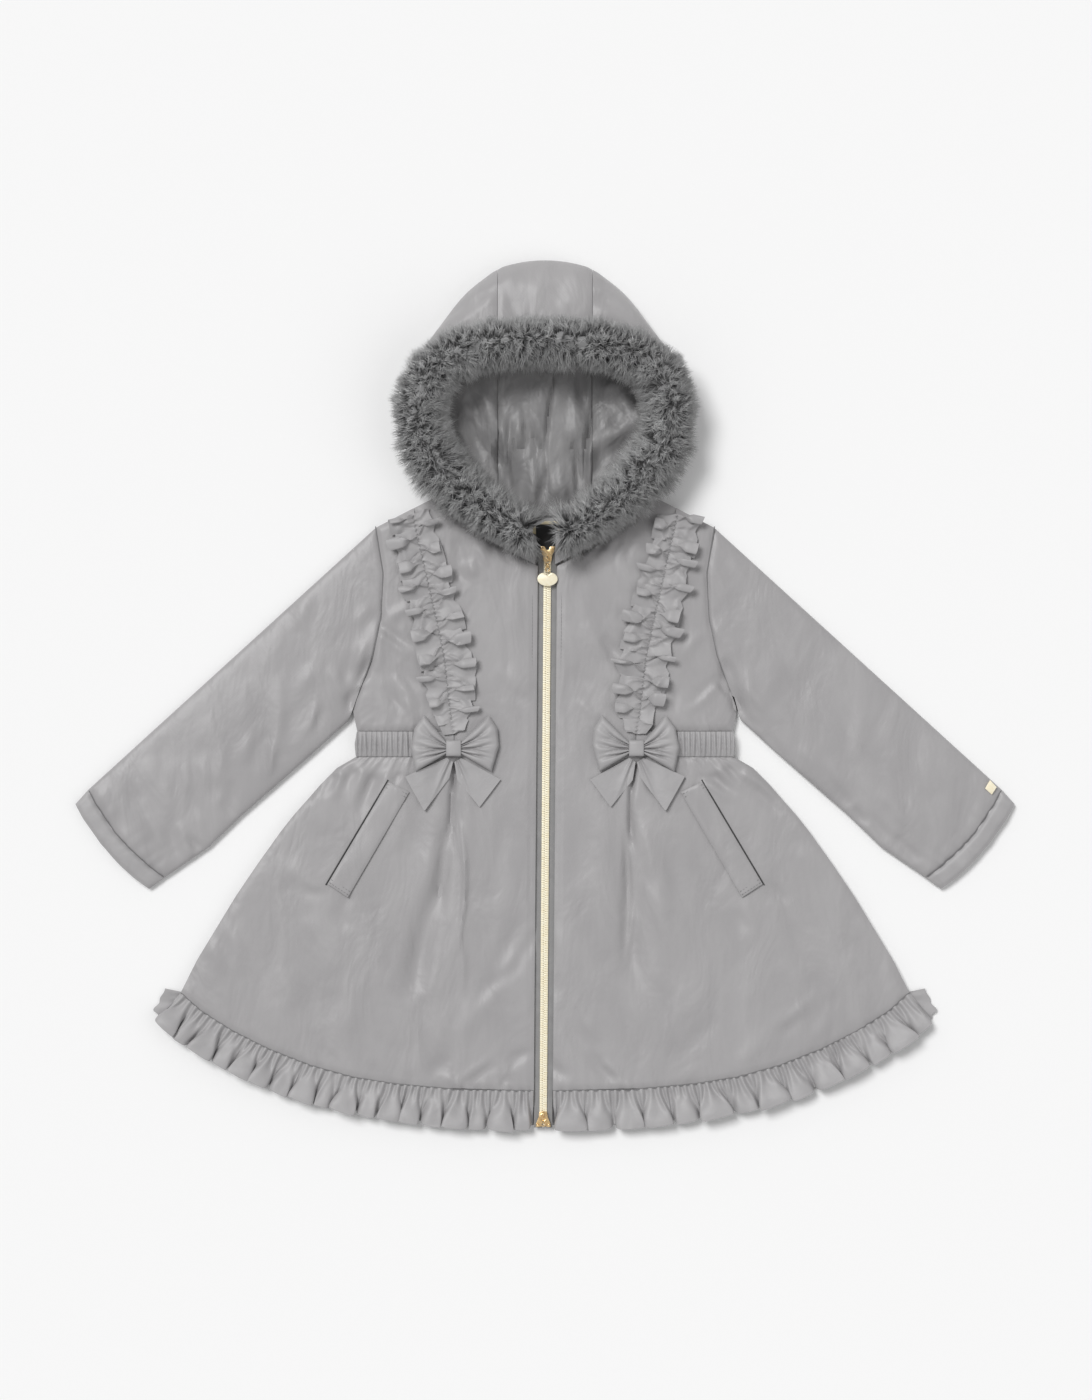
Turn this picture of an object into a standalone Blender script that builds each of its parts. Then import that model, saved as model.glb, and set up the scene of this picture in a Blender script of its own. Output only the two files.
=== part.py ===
"""A child's hooded school coat, laid flat with its front up, built from the pieces that are cut and sewn.

The coat lies in the XY plane with its hem towards -Y and rests on the plane Z = 0. Left means the
left of the front as it is seen, so it is the -X side. Every size below is in millimetres, and each
vertex is brought to metres as it is placed. The origin is under the middle of the coat's box.
"""
import math

import bmesh
import bpy
import numpy as np

MM = 0.001

# Driving sizes
COAT_LENGTH = 756.0
WALL = 4.0
SATIN = 1.2
SEAM = 0.3
HOLLOW = 3.2
ZIP_EDGE = 8.3
SHELL_WALL = 2.5
LINING_WALL = 1.2
FUR_DEPTH = 13.0
NECK_FRONT = 113.0
WAIST_TOP = -30.5
WAIST_BOTTOM = -53.0
STRIP_FOLDS = 12
WAIST_GATHERS = 11
RIB = 1.6
GATHER = 1.8
BACK_RUFFLE_WAVES = 30
RUFFLE_WAVES = {-1: 18, 1: 14}
BOW_CENTRE = (79.3, -45.3)
PULL_HINGE_Y = 119.5
BOTTOM_HINGE_Y = -363.5

HALF_LENGTH = COAT_LENGTH / 2
BACK_TOP = WALL
FRONT_UNDER = WALL + SEAM


def table(names, *rows):
    """A table of rows whose columns are read by name."""
    return {name: [row[index] for row in rows] for index, name in enumerate(names.split())}


# How far the zip's line leans from the middle
LEAN = table("y x", (-380, -1.7), (125, 2.2), (150, 1.5), (175, 0), (400, 0))
# The width over which the front layer domes above the back layer
DOME = table("y half", (-380, 340), (-343, 330), (-258, 320), (-202, 288), (-146, 252), (-90, 209),
             (-53, 168), (-30, 166), (-3, 182), (60, 186), (146, 170), (175, 150), (400, 150))
# The front neckline, from the zip to the neck point, then the shoulder
NECKLINE = table("x y", (8.3, 113), (23, 120), (49, 133), (77, 153), (97, 172), (114, 163.4), (147, 146.6))
# The back neckline, from the middle to the neck point
BACK_NECK = table("x y", (0, 155), (41, 156.2), (60, 160), (80, 166.5), (97, 172))
# The seam of the front from the shoulder to the waist, under the ruffle strip
PRINCESS = table("y x", (163.4, 114), (120, 106), (57, 92.5), (9, 85), (-30.5, 79))
# The armhole, the underarm and the side down to the waistband
SIDE = table("y x", (146.6, 147), (107, 140.5), (67, 142.6), (35, 149.5), (15, 157), (-3, 166),
             (-14, 167), (-30.5, 163.5))
# The line of the pleat below the bow
PLEAT = table("y x depth half", (-53, 79, 3.4, 5), (-75, 77.5, 3.4, 6), (-130, 77.5, 2.6, 9),
              (-180, 78, 1.5, 12), (-235, 80, 0, 14), (-343, 86, 0, 14))
# The side of the skirt, from the waistband to the hem
SKIRT_SIDE = table("x y", (164.5, -53), (181, -62.6), (195, -76.6), (207, -90.5), (219, -104),
                   (230, -118), (250, -146), (269, -174), (286, -202), (303, -230), (317, -258))
HEM = table("x y", (8.3, -343), (75, -342), (130, -337), (168, -331), (204, -321), (240, -307),
            (272, -291), (299, -274), (317, -258))
RUFFLE_EDGE = table("x y", (8.3, -376), (30, -378), (66, -376.5), (108, -373), (150, -366.5),
                    (188, -359), (225, -348.5), (262, -333), (291, -317.5), (320, -300), (338, -283))
BACK_RUFFLE_EDGE = table("x y", (0, -374), (60, -374), (108, -370), (150, -364), (188, -356.5),
                         (225, -346), (262, -330), (291, -315), (322, -297), (341, -275), (331, -255))
SLEEVE_TOP = table("x y", (147, 146.6), (397.5, -81.3))
SLEEVE_UNDER = table("x y", (166, -3), (170.5, -21), (201, -49), (233, -77), (264, -104), (293, -132),
                     (331, -158))
CUFF_SEAM = table("x y", (397.5, -81.3), (390.5, -94), (374, -118.5), (360, -133.5), (343, -149),
                  (331, -158))
CUFF_EDGE = table("x y", (409, -94), (402.5, -106), (387, -128), (372.2, -145), (358.3, -158),
                  (344.7, -168))
# The ruffle strip: its stitched middle, and how far each frilled edge reaches from it
STRIP = table("y x outer inner", (158, 115.5, 22.5, 18.5), (122, 107, 25, 20.5), (88, 99.5, 24.5, 24),
              (57, 92.5, 24, 25), (32, 87.5, 24, 26), (9, 85, 21.5, 27), (-16, 82, 18, 24),
              (-33, 80, 11, 12))
WELT = table("end outer_x outer_y inner_x inner_y", (0, 136.3, -74.7, 118, -83.5),
             (1, 189, -163.4, 171.3, -175))
# A bow about the middle of its knot: the ends of its loops, outer end first, from top to bottom
LOOP_ENDS = table("across outer_x outer_y inner_x inner_y", (1, -25.5, 29, 30, 28.8),
                  (0.5, -34, 17, 37.5, 17), (0, -37.3, 0, 38.9, 2), (-1, -33, -20.5, 32.5, -20.5))
# The corners of a bow's tails: two at the knot, two at the sides and the point
TAILS = {
    "outer": table("x y", (-6.4, -8.4), (-42.2, -24.7), (-25.4, -54.7), (-3.8, -26), (-0.6, -12)),
    "inner": table("x y", (6.4, -8.4), (40.4, -27.3), (22.4, -51.2), (3.1, -27.8), (0.6, -12)),
}
# The hood's side, a row for each section: where it starts on the neck or on the centre seam, the
# widest point of its outline, and its rim under the fur
HOOD_SIDE = table("x y z outline_x outline_y rim_x rim_y rim_z",
                  (8.6, 114.4, 10.8, 8.8, 127, 9.5, 141, 16), (30, 125.5, 10.6, 30, 136, 30, 149, 16.5),
                  (52, 137.6, 10.3, 52, 148, 52, 162, 17), (76.5, 155.2, 10, 77, 165, 75, 179, 18),
                  (97.5, 174.5, 9.6, 97.5, 182, 91.5, 198, 19.5), (80, 168.8, 0, 106, 190, 98, 208, 20.5),
                  (60, 161.8, 0, 114, 207, 104.5, 221, 21.5), (41.2, 157.4, 0, 121, 232, 109.5, 240, 22.5),
                  (41.2, 190, 0, 123, 257, 107.5, 262, 24), (41.2, 225, 0, 119, 278, 99.5, 278, 26),
                  (41.2, 258, 0, 106.5, 300, 87, 289, 28.5), (41.2, 288, 0, 91, 321.5, 72, 297, 31),
                  (41.2, 313, 0, 69, 349, 56, 301, 32.5), (41.2, 332, 0, 41.2, 371, 41.2, 303.6, 33.5))
# The fur: the line that it follows, and how far it reaches to each side of that line
FUR = table("x y half", (15.5, 142, 13), (22, 144, 15.5), (38, 153, 17), (67, 173, 19.5), (87, 193, 22.5),
            (101, 212, 24), (109, 233, 24.5), (109, 255, 24.5), (103, 273, 24.3), (90, 287, 23.5),
            (72, 297, 22.7), (41, 303.6, 22.3), (0, 304.5, 22.5))
FLOOR_STRETCH = 14.0

# Rows and columns of the front, as fractions
BODICE_ROWS = (0, 0.12, 0.28, 0.45, 0.62, 0.78, 0.845, 1)
SKIRT_ROWS = (0, 0.04, 0.1, 0.18, 0.3, 0.45, 0.6, 0.75, 0.88, 1)
CENTRE_COLUMNS = (0, 0.25, 0.5, 0.75, 0.92, 1)

GREY_SATIN = (0.40, 0.39, 0.395)
GREY_FUR = (0.16, 0.16, 0.16)
GREY_LINING = (0.28, 0.275, 0.275)
TAPE_GREY = (0.36, 0.355, 0.36)
PALE_GOLD = (0.86, 0.78, 0.58)
WARM_GOLD = (0.80, 0.58, 0.33)


# Reading the tables

def read(columns, key, at, value):
    """The value in a table at a place between its rows."""
    keys = np.array(columns[key], dtype=float)
    values = np.array(columns[value], dtype=float)
    order = np.argsort(keys)
    return float(np.interp(at, keys[order], values[order]))


def along(path, fraction):
    """The point at a fraction of a path's length."""
    points = np.column_stack((path["x"], path["y"])).astype(float)
    run = np.concatenate(([0.0], np.cumsum(np.linalg.norm(np.diff(points, axis=0), axis=1))))
    at = fraction * run[-1]
    return np.array((np.interp(at, run, points[:, 0]), np.interp(at, run, points[:, 1])))


def mix(first, second, fraction):
    return first + (second - first) * fraction


def ease(value, low, high):
    """A soft step from 0 at low to 1 at high."""
    fraction = min(max((value - low) / (high - low), 0.0), 1.0)
    return fraction * fraction * (3 - 2 * fraction)


def patch(s, t, start, end, low, high):
    """A point in a patch between four curves; start and end run with s, low and high with t."""
    straight = mix(start(s), end(s), t) + mix(low(t), high(t), s)
    corners = mix(mix(start(0), start(1), s), mix(end(0), end(1), s), t)
    return straight - corners


# Heights of the lying coat

def lean(x, y):
    """The small sideways shift that follows the zip's lean and dies out towards the pleats."""
    return read(LEAN, "y", y, "x") * min(max(1 - (abs(x) - 9) / 68, 0), 1)


def under_front(x, y):
    """The underside of the front layer, a low dome over the back layer."""
    share = abs(x) / read(DOME, "y", y, "half")
    return FRONT_UNDER + HOLLOW * max(1 - share * share, 0)


def top_front(x, y):
    return under_front(x, y) + WALL


def pleat_dip(x, y):
    """How far the cloth sinks in the inverted pleat below a bow."""
    if y > WAIST_BOTTOM + 1:
        return 0.0
    reach = read(PLEAT, "y", y, "half")
    away = abs(abs(x) - read(PLEAT, "y", y, "x")) / reach
    return read(PLEAT, "y", y, "depth") * max(1 - away, 0)


def from_bow(x):
    """Ribs and gathers are flat beneath the bow and full beyond it."""
    return ease(abs(x), 98, 114)


# Making solids

def material(name, colour, roughness, metallic):
    shade = bpy.data.materials.new(name)
    shade.use_nodes = True
    surface = shade.node_tree.nodes["Principled BSDF"]
    surface.inputs["Base Color"].default_value = (*colour, 1)
    surface.inputs["Roughness"].default_value = roughness
    surface.inputs["Metallic"].default_value = metallic
    return shade


def finish(name, mesh, colour, roughness=0.55, metallic=0.0, origin=(0, 0, 0)):
    """Turn a bmesh in millimetres into a named object, with its origin where it hinges."""
    bmesh.ops.recalc_face_normals(mesh, faces=mesh.faces)
    if mesh.calc_volume(signed=True) < 0:
        bmesh.ops.reverse_faces(mesh, faces=mesh.faces)
    bmesh.ops.translate(mesh, verts=mesh.verts, vec=[-value for value in origin])
    bmesh.ops.scale(mesh, verts=mesh.verts, vec=(MM, MM, MM))
    data = bpy.data.meshes.new(name)
    mesh.to_mesh(data)
    mesh.free()
    data.materials.append(material(name, colour, roughness, metallic))
    data.shade_smooth()
    data.set_sharp_from_angle(angle=math.radians(40))
    piece = bpy.data.objects.new(name, data)
    piece.location = [value * MM for value in origin]
    bpy.context.collection.objects.link(piece)
    return piece


def wall(columns, rows, outside, inside, keep=None, closed=False):
    """A wall of cloth: a grid on its outside points, extruded to its inside points.

    outside and inside give a point for a column and a row. keep says which cells are cloth, and
    closed joins the last column to the first, for a tube.
    """
    mesh = bmesh.new()
    bmesh.ops.create_grid(mesh, x_segments=columns, y_segments=rows, size=0.5)
    column_of = mesh.verts.layers.int.new("column")
    row_of = mesh.verts.layers.int.new("row")
    for vertex in mesh.verts:
        vertex[column_of] = round((vertex.co.x + 0.5) * columns)
        vertex[row_of] = round((vertex.co.y + 0.5) * rows)
    if keep:
        spare = [face for face in mesh.faces
                 if not keep(min(v[column_of] for v in face.verts), min(v[row_of] for v in face.verts))]
        bmesh.ops.delete(mesh, geom=spare, context="FACES")
    if closed:
        for vertex in mesh.verts:
            vertex[column_of] %= columns
    for vertex in mesh.verts:
        vertex.co = placed(outside(vertex[column_of], vertex[row_of]))
    if closed:
        bmesh.ops.remove_doubles(mesh, verts=mesh.verts, dist=0.0001)
    bmesh.ops.triangulate(mesh, faces=mesh.faces, quad_method="FIXED")
    grown = bmesh.ops.extrude_face_region(mesh, geom=mesh.faces, use_keep_orig=True)
    for item in grown["geom"]:
        if isinstance(item, bmesh.types.BMVert):
            item.co = placed(inside(item[column_of], item[row_of]))
    return mesh


def placed(point):
    x, y, z = point
    return (x + lean(x, y), y, z)


def slab(outline, low, high):
    """A flat piece: an outline extruded straight up."""
    mesh = bmesh.new()
    corners = [mesh.verts.new(placed((x, y, low))) for x, y in outline]
    face = mesh.faces.new(corners)
    grown = bmesh.ops.extrude_face_region(mesh, geom=[face], use_keep_orig=True)
    lifted = [item for item in grown["geom"] if isinstance(item, bmesh.types.BMVert)]
    bmesh.ops.translate(mesh, verts=lifted, vec=(0, 0, high - low))
    bmesh.ops.triangulate(mesh, faces=mesh.faces)
    return mesh


def mirrored(half):
    """A closed outline from its right half, which runs from the middle round to the middle."""
    return list(half) + [(-x, y) for x, y in reversed(half) if x > 0]


def side_name(side):
    return "left" if side < 0 else "right"


# The back layer, which lies flat on the ground

def side_point(row):
    """A point of the armhole or the side, at a fraction of the way from shoulder to waist."""
    y = mix(SIDE["y"][0], WAIST_TOP, row)
    return read(SIDE, "y", y, "x"), y


def skirt_outline(top):
    half = [(0, top), (SKIRT_SIDE["x"][0], top)]
    half += [tuple(along(SKIRT_SIDE, row)) for row in SKIRT_ROWS[1:]]
    half += [tuple(along(HEM, 1 - step / 16)) for step in range(1, 17)]
    half += [(0, HEM["y"][0])]
    return mirrored(half)


def make_back():
    neck = list(zip(BACK_NECK["x"], BACK_NECK["y"]))
    bodice = neck + [side_point(row) for row in BODICE_ROWS] + [(0, WAIST_TOP)]
    band = [(0, WAIST_TOP - SEAM), (163.5, WAIST_TOP - SEAM), (165.5, -42), (164.5, WAIST_BOTTOM + SEAM),
            (0, WAIST_BOTTOM + SEAM)]
    finish("back_bodice", slab(mirrored(bodice), 0, WALL), GREY_SATIN)
    finish("back_waistband", slab(mirrored(band), 0, WALL), GREY_SATIN)
    finish("back_skirt", slab(skirt_outline(WAIST_BOTTOM), 0, WALL), GREY_SATIN)


# The fronts, each cut in one piece from the neck to the hem and out to the side seam

def front_plan(column, row):
    """Where a point of a front lies: centre columns reach the neck, side columns only the waist."""
    centre = len(CENTRE_COLUMNS) - 1
    waist = len(BODICE_ROWS)
    share = CENTRE_COLUMNS[min(column, centre)]
    if row < waist:
        down = BODICE_ROWS[row]
        top_x = mix(ZIP_EDGE, PRINCESS["x"][0], share)
        y = mix(read(NECKLINE, "x", top_x, "y"), WAIST_TOP, down)
        seam_y = mix(PRINCESS["y"][0], WAIST_TOP, down)
        return np.array((mix(ZIP_EDGE, read(PRINCESS, "y", seam_y, "x"), share), y))
    down = SKIRT_ROWS[row - waist]
    pleat_y = mix(WAIST_BOTTOM, hem_at(PLEAT["x"][-1]), down)
    pleat = np.array((read(PLEAT, "y", pleat_y, "x"), pleat_y))
    if column <= centre:
        zip_point = np.array((ZIP_EDGE, mix(WAIST_BOTTOM, HEM["y"][0], down)))
        return mix(zip_point, pleat, share)
    out = (column - centre) / (2 * WAIST_GATHERS)
    corner = np.array((PLEAT["x"][-1], hem_at(PLEAT["x"][-1])))
    seam_length = hem_fraction(corner[0])
    return patch(out, down,
                 start=lambda s: np.array((mix(PLEAT["x"][0], SKIRT_SIDE["x"][0], s), WAIST_BOTTOM)),
                 end=lambda s: along(HEM, mix(seam_length, 1, s)),
                 low=lambda t: pleat_line(t),
                 high=lambda t: along(SKIRT_SIDE, t))


def hem_at(x):
    return read(HEM, "x", x, "y")


def hem_fraction(x):
    """How far along the hem a place across the coat is."""
    fractions = np.linspace(0, 1, 201)
    return float(np.interp(x, [along(HEM, fraction)[0] for fraction in fractions], fractions))


def pleat_line(down):
    y = mix(WAIST_BOTTOM, hem_at(PLEAT["x"][-1]), down)
    return np.array((read(PLEAT, "y", y, "x"), y))


def gather_rise(column, row):
    """The gathers below the waistband stand up from the panel and die out down the skirt."""
    centre = len(CENTRE_COLUMNS) - 1
    waist = len(BODICE_ROWS)
    if column <= centre or row < waist or (column - centre) % 2 == 0:
        return 0.0
    return GATHER * max(1 - (row - waist) / 3, 0)


def make_front(side):
    centre = len(CENTRE_COLUMNS) - 1
    columns = centre + 2 * WAIST_GATHERS
    waist = len(BODICE_ROWS)
    rows = waist + len(SKIRT_ROWS) - 1

    def outside(column, row):
        x, y = front_plan(column, row)
        z = top_front(x, y) - pleat_dip(x, y) + gather_rise(column, row) * from_bow(x)
        return side * x, y, z

    def inside(column, row):
        x, y = front_plan(column, row)
        return side * x, y, max(under_front(x, y) - pleat_dip(x, y), FRONT_UNDER)

    mesh = wall(columns, rows, outside, inside, keep=lambda i, j: i < centre or j >= waist)
    finish(f"front_{side_name(side)}", mesh, GREY_SATIN)


def make_side_bodice(side):
    columns = 4

    def plan(column, row):
        down = BODICE_ROWS[row]
        y = mix(PRINCESS["y"][0], WAIST_TOP, down)
        inner = np.array((read(PRINCESS, "y", y, "x") + SEAM, y))
        return mix(inner, np.array(side_point(down)), column / columns)

    def outside(column, row):
        x, y = plan(column, row)
        return side * x, y, top_front(x, y)

    def inside(column, row):
        x, y = plan(column, row)
        return side * x, y, under_front(x, y)

    mesh = wall(columns, len(BODICE_ROWS) - 1, outside, inside)
    finish(f"side_bodice_{side_name(side)}", mesh, GREY_SATIN)


def make_waistband(side):
    columns = 2 * WAIST_GATHERS
    rows = 2

    def plan(column, row):
        y = mix(WAIST_TOP - SEAM, WAIST_BOTTOM + SEAM, row / rows)
        outer = (163.5, 165.5, 164.5)[row]
        return mix(PLEAT["x"][0] + SEAM, outer, column / columns), y

    def outside(column, row):
        x, y = plan(column, row)
        rib = RIB * (column % 2) * from_bow(x)
        puff = 0.8 * from_bow(x) if row == 1 else 0.0
        return side * x, y, top_front(x, y) + rib + puff

    def inside(column, row):
        x, y = plan(column, row)
        return side * x, y, under_front(x, y)

    finish(f"waistband_{side_name(side)}", wall(columns, rows, outside, inside), GREY_SATIN)


# Sleeves and cuffs, each a tube that lies flat

def armhole():
    rows = [row for row in BODICE_ROWS if row < 0.9]
    points = [side_point(row) for row in rows]
    return {"x": [x for x, y in points], "y": [y for x, y in points]}


def ring_steps():
    """How far across the sleeve each column of its upper side lies, matched to the armhole."""
    hole = armhole()
    points = np.column_stack((hole["x"], hole["y"]))
    run = np.cumsum(np.linalg.norm(np.diff(points, axis=0), axis=1))
    return [0.035] + [float(step) for step in run[:-1] / run[-1]] + [0.965]


def flat_tube(name, width, lengths, plan, swell):
    """A flattened tube: its upper side, its far edge, its lower side and its near edge in turn."""
    steps = ring_steps()
    upper = len(steps)
    across = steps + [1.0] + steps[::-1] + [0.0]

    def part_of(column):
        if column < upper:
            return "upper"
        if column == upper or column == len(across) - 1:
            return "edge"
        return "lower"

    def full(s, t):
        return swell * (1 - (2 * s - 1) ** 2) * math.sin(math.pi * min(max(mix(0.2, 0.8, t), 0), 1))

    def outside(column, row):
        s, t = across[column], lengths[row]
        x, y = plan(s, t)
        rounded = 0.7 if s < 0.04 or s > 0.96 else 0.0
        heights = {"upper": 2 * WALL + full(s, t) - rounded, "edge": WALL, "lower": rounded}
        return x, y, heights[part_of(column)]

    def inside(column, row):
        s, t = across[column], lengths[row]
        drawn_in = mix(0.5, s, 1 - 2 * WALL / width)
        x, y = plan(drawn_in, t)
        heights = {"upper": WALL + SEAM + full(s, t) * 0.9, "edge": WALL + SEAM / 2, "lower": WALL}
        return x, y, heights[part_of(column)]

    mesh = wall(len(across), len(lengths) - 1, outside, inside, closed=True)
    return mesh


def moved_start(path, first):
    """A path with its first point moved."""
    return {"x": [first[0]] + path["x"][1:], "y": [first[1]] + path["y"][1:]}


def make_sleeve(side):
    hole = armhole()
    hole["x"] = [x + SEAM + 0.1 for x in hole["x"]]
    fold_above = moved_start(SLEEVE_TOP, (hole["x"][0], hole["y"][0]))
    fold_below = moved_start(SLEEVE_UNDER, (hole["x"][-1], hole["y"][-1]))

    def plan(s, t):
        x, y = patch(s, t, start=lambda f: along(hole, f), end=lambda f: along(CUFF_SEAM, f),
                     low=lambda f: along(fold_above, f), high=lambda f: along(fold_below, f))
        return side * x, y

    lengths = [step / 9 for step in range(10)]
    finish(f"sleeve_{side_name(side)}", flat_tube("sleeve", 105, lengths, plan, HOLLOW), GREY_SATIN)


def make_cuff(side):
    shift = np.array((0.75, -0.66)) * (SEAM + 0.1)

    def plan(s, t):
        x, y = mix(along(CUFF_SEAM, s) + shift, along(CUFF_EDGE, s), t)
        return side * x, y

    finish(f"cuff_{side_name(side)}", flat_tube("cuff", 98, [0, 0.5, 1], plan, HOLLOW * 0.6), GREY_SATIN)


# Ruffles and pockets

def make_hem_ruffle(side):
    waves = RUFFLE_WAVES[side]
    columns = 4 * waves
    rows = 2

    def sheet(column, row, lift):
        h, v = column / columns, row / rows
        seam = along(HEM, h)
        outward = along(RUFFLE_EDGE, h) - seam
        outward_unit = outward / np.linalg.norm(outward)
        x, y = mix(seam + outward_unit * SEAM, seam + outward, v)
        crest = 0.5 - 0.5 * math.cos(2 * math.pi * waves * h)
        seam_height = under_front(*seam) + 0.8 + 1.4 * crest
        edge_height = FRONT_UNDER + 0.2 + 6.2 * crest
        return side * x, y, mix(seam_height, edge_height, v ** 0.8) + lift

    mesh = wall(columns, rows, lambda i, j: sheet(i, j, SATIN), lambda i, j: sheet(i, j, 0))
    finish(f"hem_ruffle_{side_name(side)}", mesh, GREY_SATIN)


def make_back_ruffle():
    columns = 3 * BACK_RUFFLE_WAVES
    hem = {"x": [0] + HEM["x"][1:], "y": HEM["y"]}

    def sheet(column, row, lift):
        across = 2 * column / columns - 1
        seam = along(hem, abs(across))
        outward = along(BACK_RUFFLE_EDGE, abs(across)) - seam
        x, y = seam + outward * (row + SEAM / 30)
        crest = 0.5 - 0.5 * math.cos(2 * math.pi * BACK_RUFFLE_WAVES * column / columns)
        height = crest * (2.4 if row else 1.2)
        return math.copysign(x, across), y, height + lift

    mesh = wall(columns, 1, lambda i, j: sheet(i, j, SATIN), lambda i, j: sheet(i, j, 0))
    finish("hem_ruffle_back", mesh, GREY_SATIN)


def make_strip(side):
    columns = 4
    rows = 4 * STRIP_FOLDS
    edges = (-1.0, -0.5, 0.0, 0.5, 1.0)

    def sheet(column, row, lift):
        t = row / rows
        y = mix(STRIP["y"][0], STRIP["y"][-1], t)
        x = read(STRIP, "y", y, "x")
        step = 4.0
        slope = (read(STRIP, "y", y + step, "x") - read(STRIP, "y", y - step, "x")) / (2 * step)
        turn = math.atan(slope)
        across = edges[column]
        reach = read(STRIP, "y", y, "outer" if across > 0 else "inner") * across
        x += reach * math.cos(turn)
        y -= reach * math.sin(turn)
        phase = 2 * math.pi * STRIP_FOLDS * t + (math.pi if across > 0 else 0)
        fullness = mix(5.5, 1.4, ease(t, 0.8, 0.97))
        rise = abs(across) * fullness * (0.5 - 0.5 * math.cos(phase))
        return side * x, y, top_front(x, y) + 0.4 + rise + lift

    mesh = wall(columns, rows, lambda i, j: sheet(i, j, SATIN), lambda i, j: sheet(i, j, 0))
    finish(f"ruffle_strip_{side_name(side)}", mesh, GREY_SATIN)


def make_welt(side):
    rows = 6

    def sheet(column, row, lift):
        end = row / rows
        outer = np.array((read(WELT, "end", end, "outer_x"), read(WELT, "end", end, "outer_y")))
        inner = np.array((read(WELT, "end", end, "inner_x"), read(WELT, "end", end, "inner_y")))
        x, y = mix(outer, inner, column / 2)
        crown = 0.6 if column == 1 and lift else 0.0
        return side * x, y, top_front(x, y) + 0.7 + crown + lift

    mesh = wall(2, rows, lambda i, j: sheet(i, j, 2.2), lambda i, j: sheet(i, j, 0))
    finish(f"pocket_welt_{side_name(side)}", mesh, GREY_SATIN)


# Bows: a band folded into two loops, a knot round its middle and two tails

LOOP_STEPS = (0.97, 0.75, 0.45, 0.2)
LOOP_ACROSS = 6
BAND = 1.0
PINCH = 4.6


def loop_plan(along_band, across):
    """A point of the folded band, from its outer end at -1 through the knot to its inner end at 1."""
    knot = np.array((6.8 * np.sign(along_band), PINCH * across))
    end = "outer" if along_band < 0 else "inner"
    tip = np.array((read(LOOP_ENDS, "across", across, f"{end}_x"), read(LOOP_ENDS, "across", across, f"{end}_y")))
    reach = (abs(along_band) - LOOP_STEPS[-1]) / (1 - LOOP_STEPS[-1])
    return mix(knot, tip, max(reach, 0))


def make_bow_loops(side):
    upper = [-step for step in LOOP_STEPS] + list(LOOP_STEPS[::-1])
    band = upper + [1.0] + upper[::-1] + [-1.0]
    cx, cy = BOW_CENTRE

    def height(column, across, inset):
        reach = abs(band[column])
        opened = ease(reach, LOOP_STEPS[-1], 0.5)
        low = mix(2.3, 3.4, opened)
        hollow = mix(0.5, 3.6, opened) * (1 if reach < 0.9 else 0.6)
        fold = 0.6 * opened * math.cos(3 * math.pi * across)
        high = low + 2 * BAND + hollow + fold
        if reach == 1.0:
            return (low + high) / 2
        return high - inset if column < len(upper) else low + inset

    def point(column, row, inset):
        across = 1 - 2 * row / LOOP_ACROSS
        tip = band[column]
        drawn_in = tip * (1 - inset / 36)
        x, y = loop_plan(drawn_in, across)
        x = cx - x
        y = cy + y
        return side * x, y, top_front(*BOW_CENTRE) + height(column, across, inset)

    mesh = wall(len(band), LOOP_ACROSS, lambda i, j: point(i, j, 0), lambda i, j: point(i, j, BAND), closed=True)
    finish(f"bow_loops_{side_name(side)}", mesh, GREY_SATIN)


def make_knot(side):
    corners = 12
    rows = 2
    cx, cy = BOW_CENTRE
    middle = 3.6

    def ring(column, row, half_y, half_z):
        angle = 2 * math.pi * column / corners
        swell = 0.3 if row == 1 else 0.0
        y = np.sign(math.cos(angle)) * abs(math.cos(angle)) ** 0.5 * (half_y + swell)
        z = np.sign(math.sin(angle)) * abs(math.sin(angle)) ** 0.5 * (half_z + swell)
        return side * (cx + mix(-6.3, 6.3, row / rows)), cy + y, top_front(*BOW_CENTRE) + middle + z

    mesh = wall(corners, rows, lambda i, j: ring(i, j, 6.6, 3.0), lambda i, j: ring(i, j, 5.3, 1.9), closed=True)
    finish(f"bow_knot_{side_name(side)}", mesh, GREY_SATIN)


def make_tail(side, which):
    corners = TAILS[which]
    cx, cy = BOW_CENTRE
    steps = 4

    def sheet(column, row, lift):
        u, v = column / steps, row / steps
        far = {"x": corners["x"][1:4], "y": corners["y"][1:4]}
        near = mix(np.array((corners["x"][0], corners["y"][0])), np.array((corners["x"][4], corners["y"][4])), u)
        x, y = mix(near, along(far, u), v)
        x = cx - x
        y = cy + y
        clear = 0.4 + 1.3 * ease(x, 92, 106)
        fold = 0.7 * math.sin(math.pi * u) * (1 - v) if lift else 0.0
        return side * x, y, top_front(x, y) + clear + fold + lift

    mesh = wall(steps, steps, lambda i, j: sheet(i, j, SATIN), lambda i, j: sheet(i, j, 0))
    finish(f"bow_tail_{which}_{side_name(side)}", mesh, GREY_SATIN)


# The hood: a shell and a lining in three panels each, and the fur round the opening

def hood_profile(start, outline, rim):
    """Points of one section, from its start along the ground, round the outline and up to the rim."""
    start, rim = np.array(start), np.array(rim)
    outline = np.array((*outline, 0.0))
    height = rim[2]
    if start[2] > 0:
        return [mix(start, rim, step / 7) + np.array((0, 0, 1.5 * math.sin(math.pi * step / 7)))
                for step in range(8)]
    flat = outline - start
    away = flat / np.linalg.norm(flat)
    back = rim - outline
    ground = outline - away * FLOOR_STRETCH
    levels = ((outline - away * 4, 0.12), (outline, 0.42), (outline + back * 0.2, 0.78), (outline + back * 0.6, 0.96))
    points = [start, mix(start, ground, 0.5), ground]
    points += [np.array((place[0], place[1], height * share)) for place, share in levels]
    return points + [rim]


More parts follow.
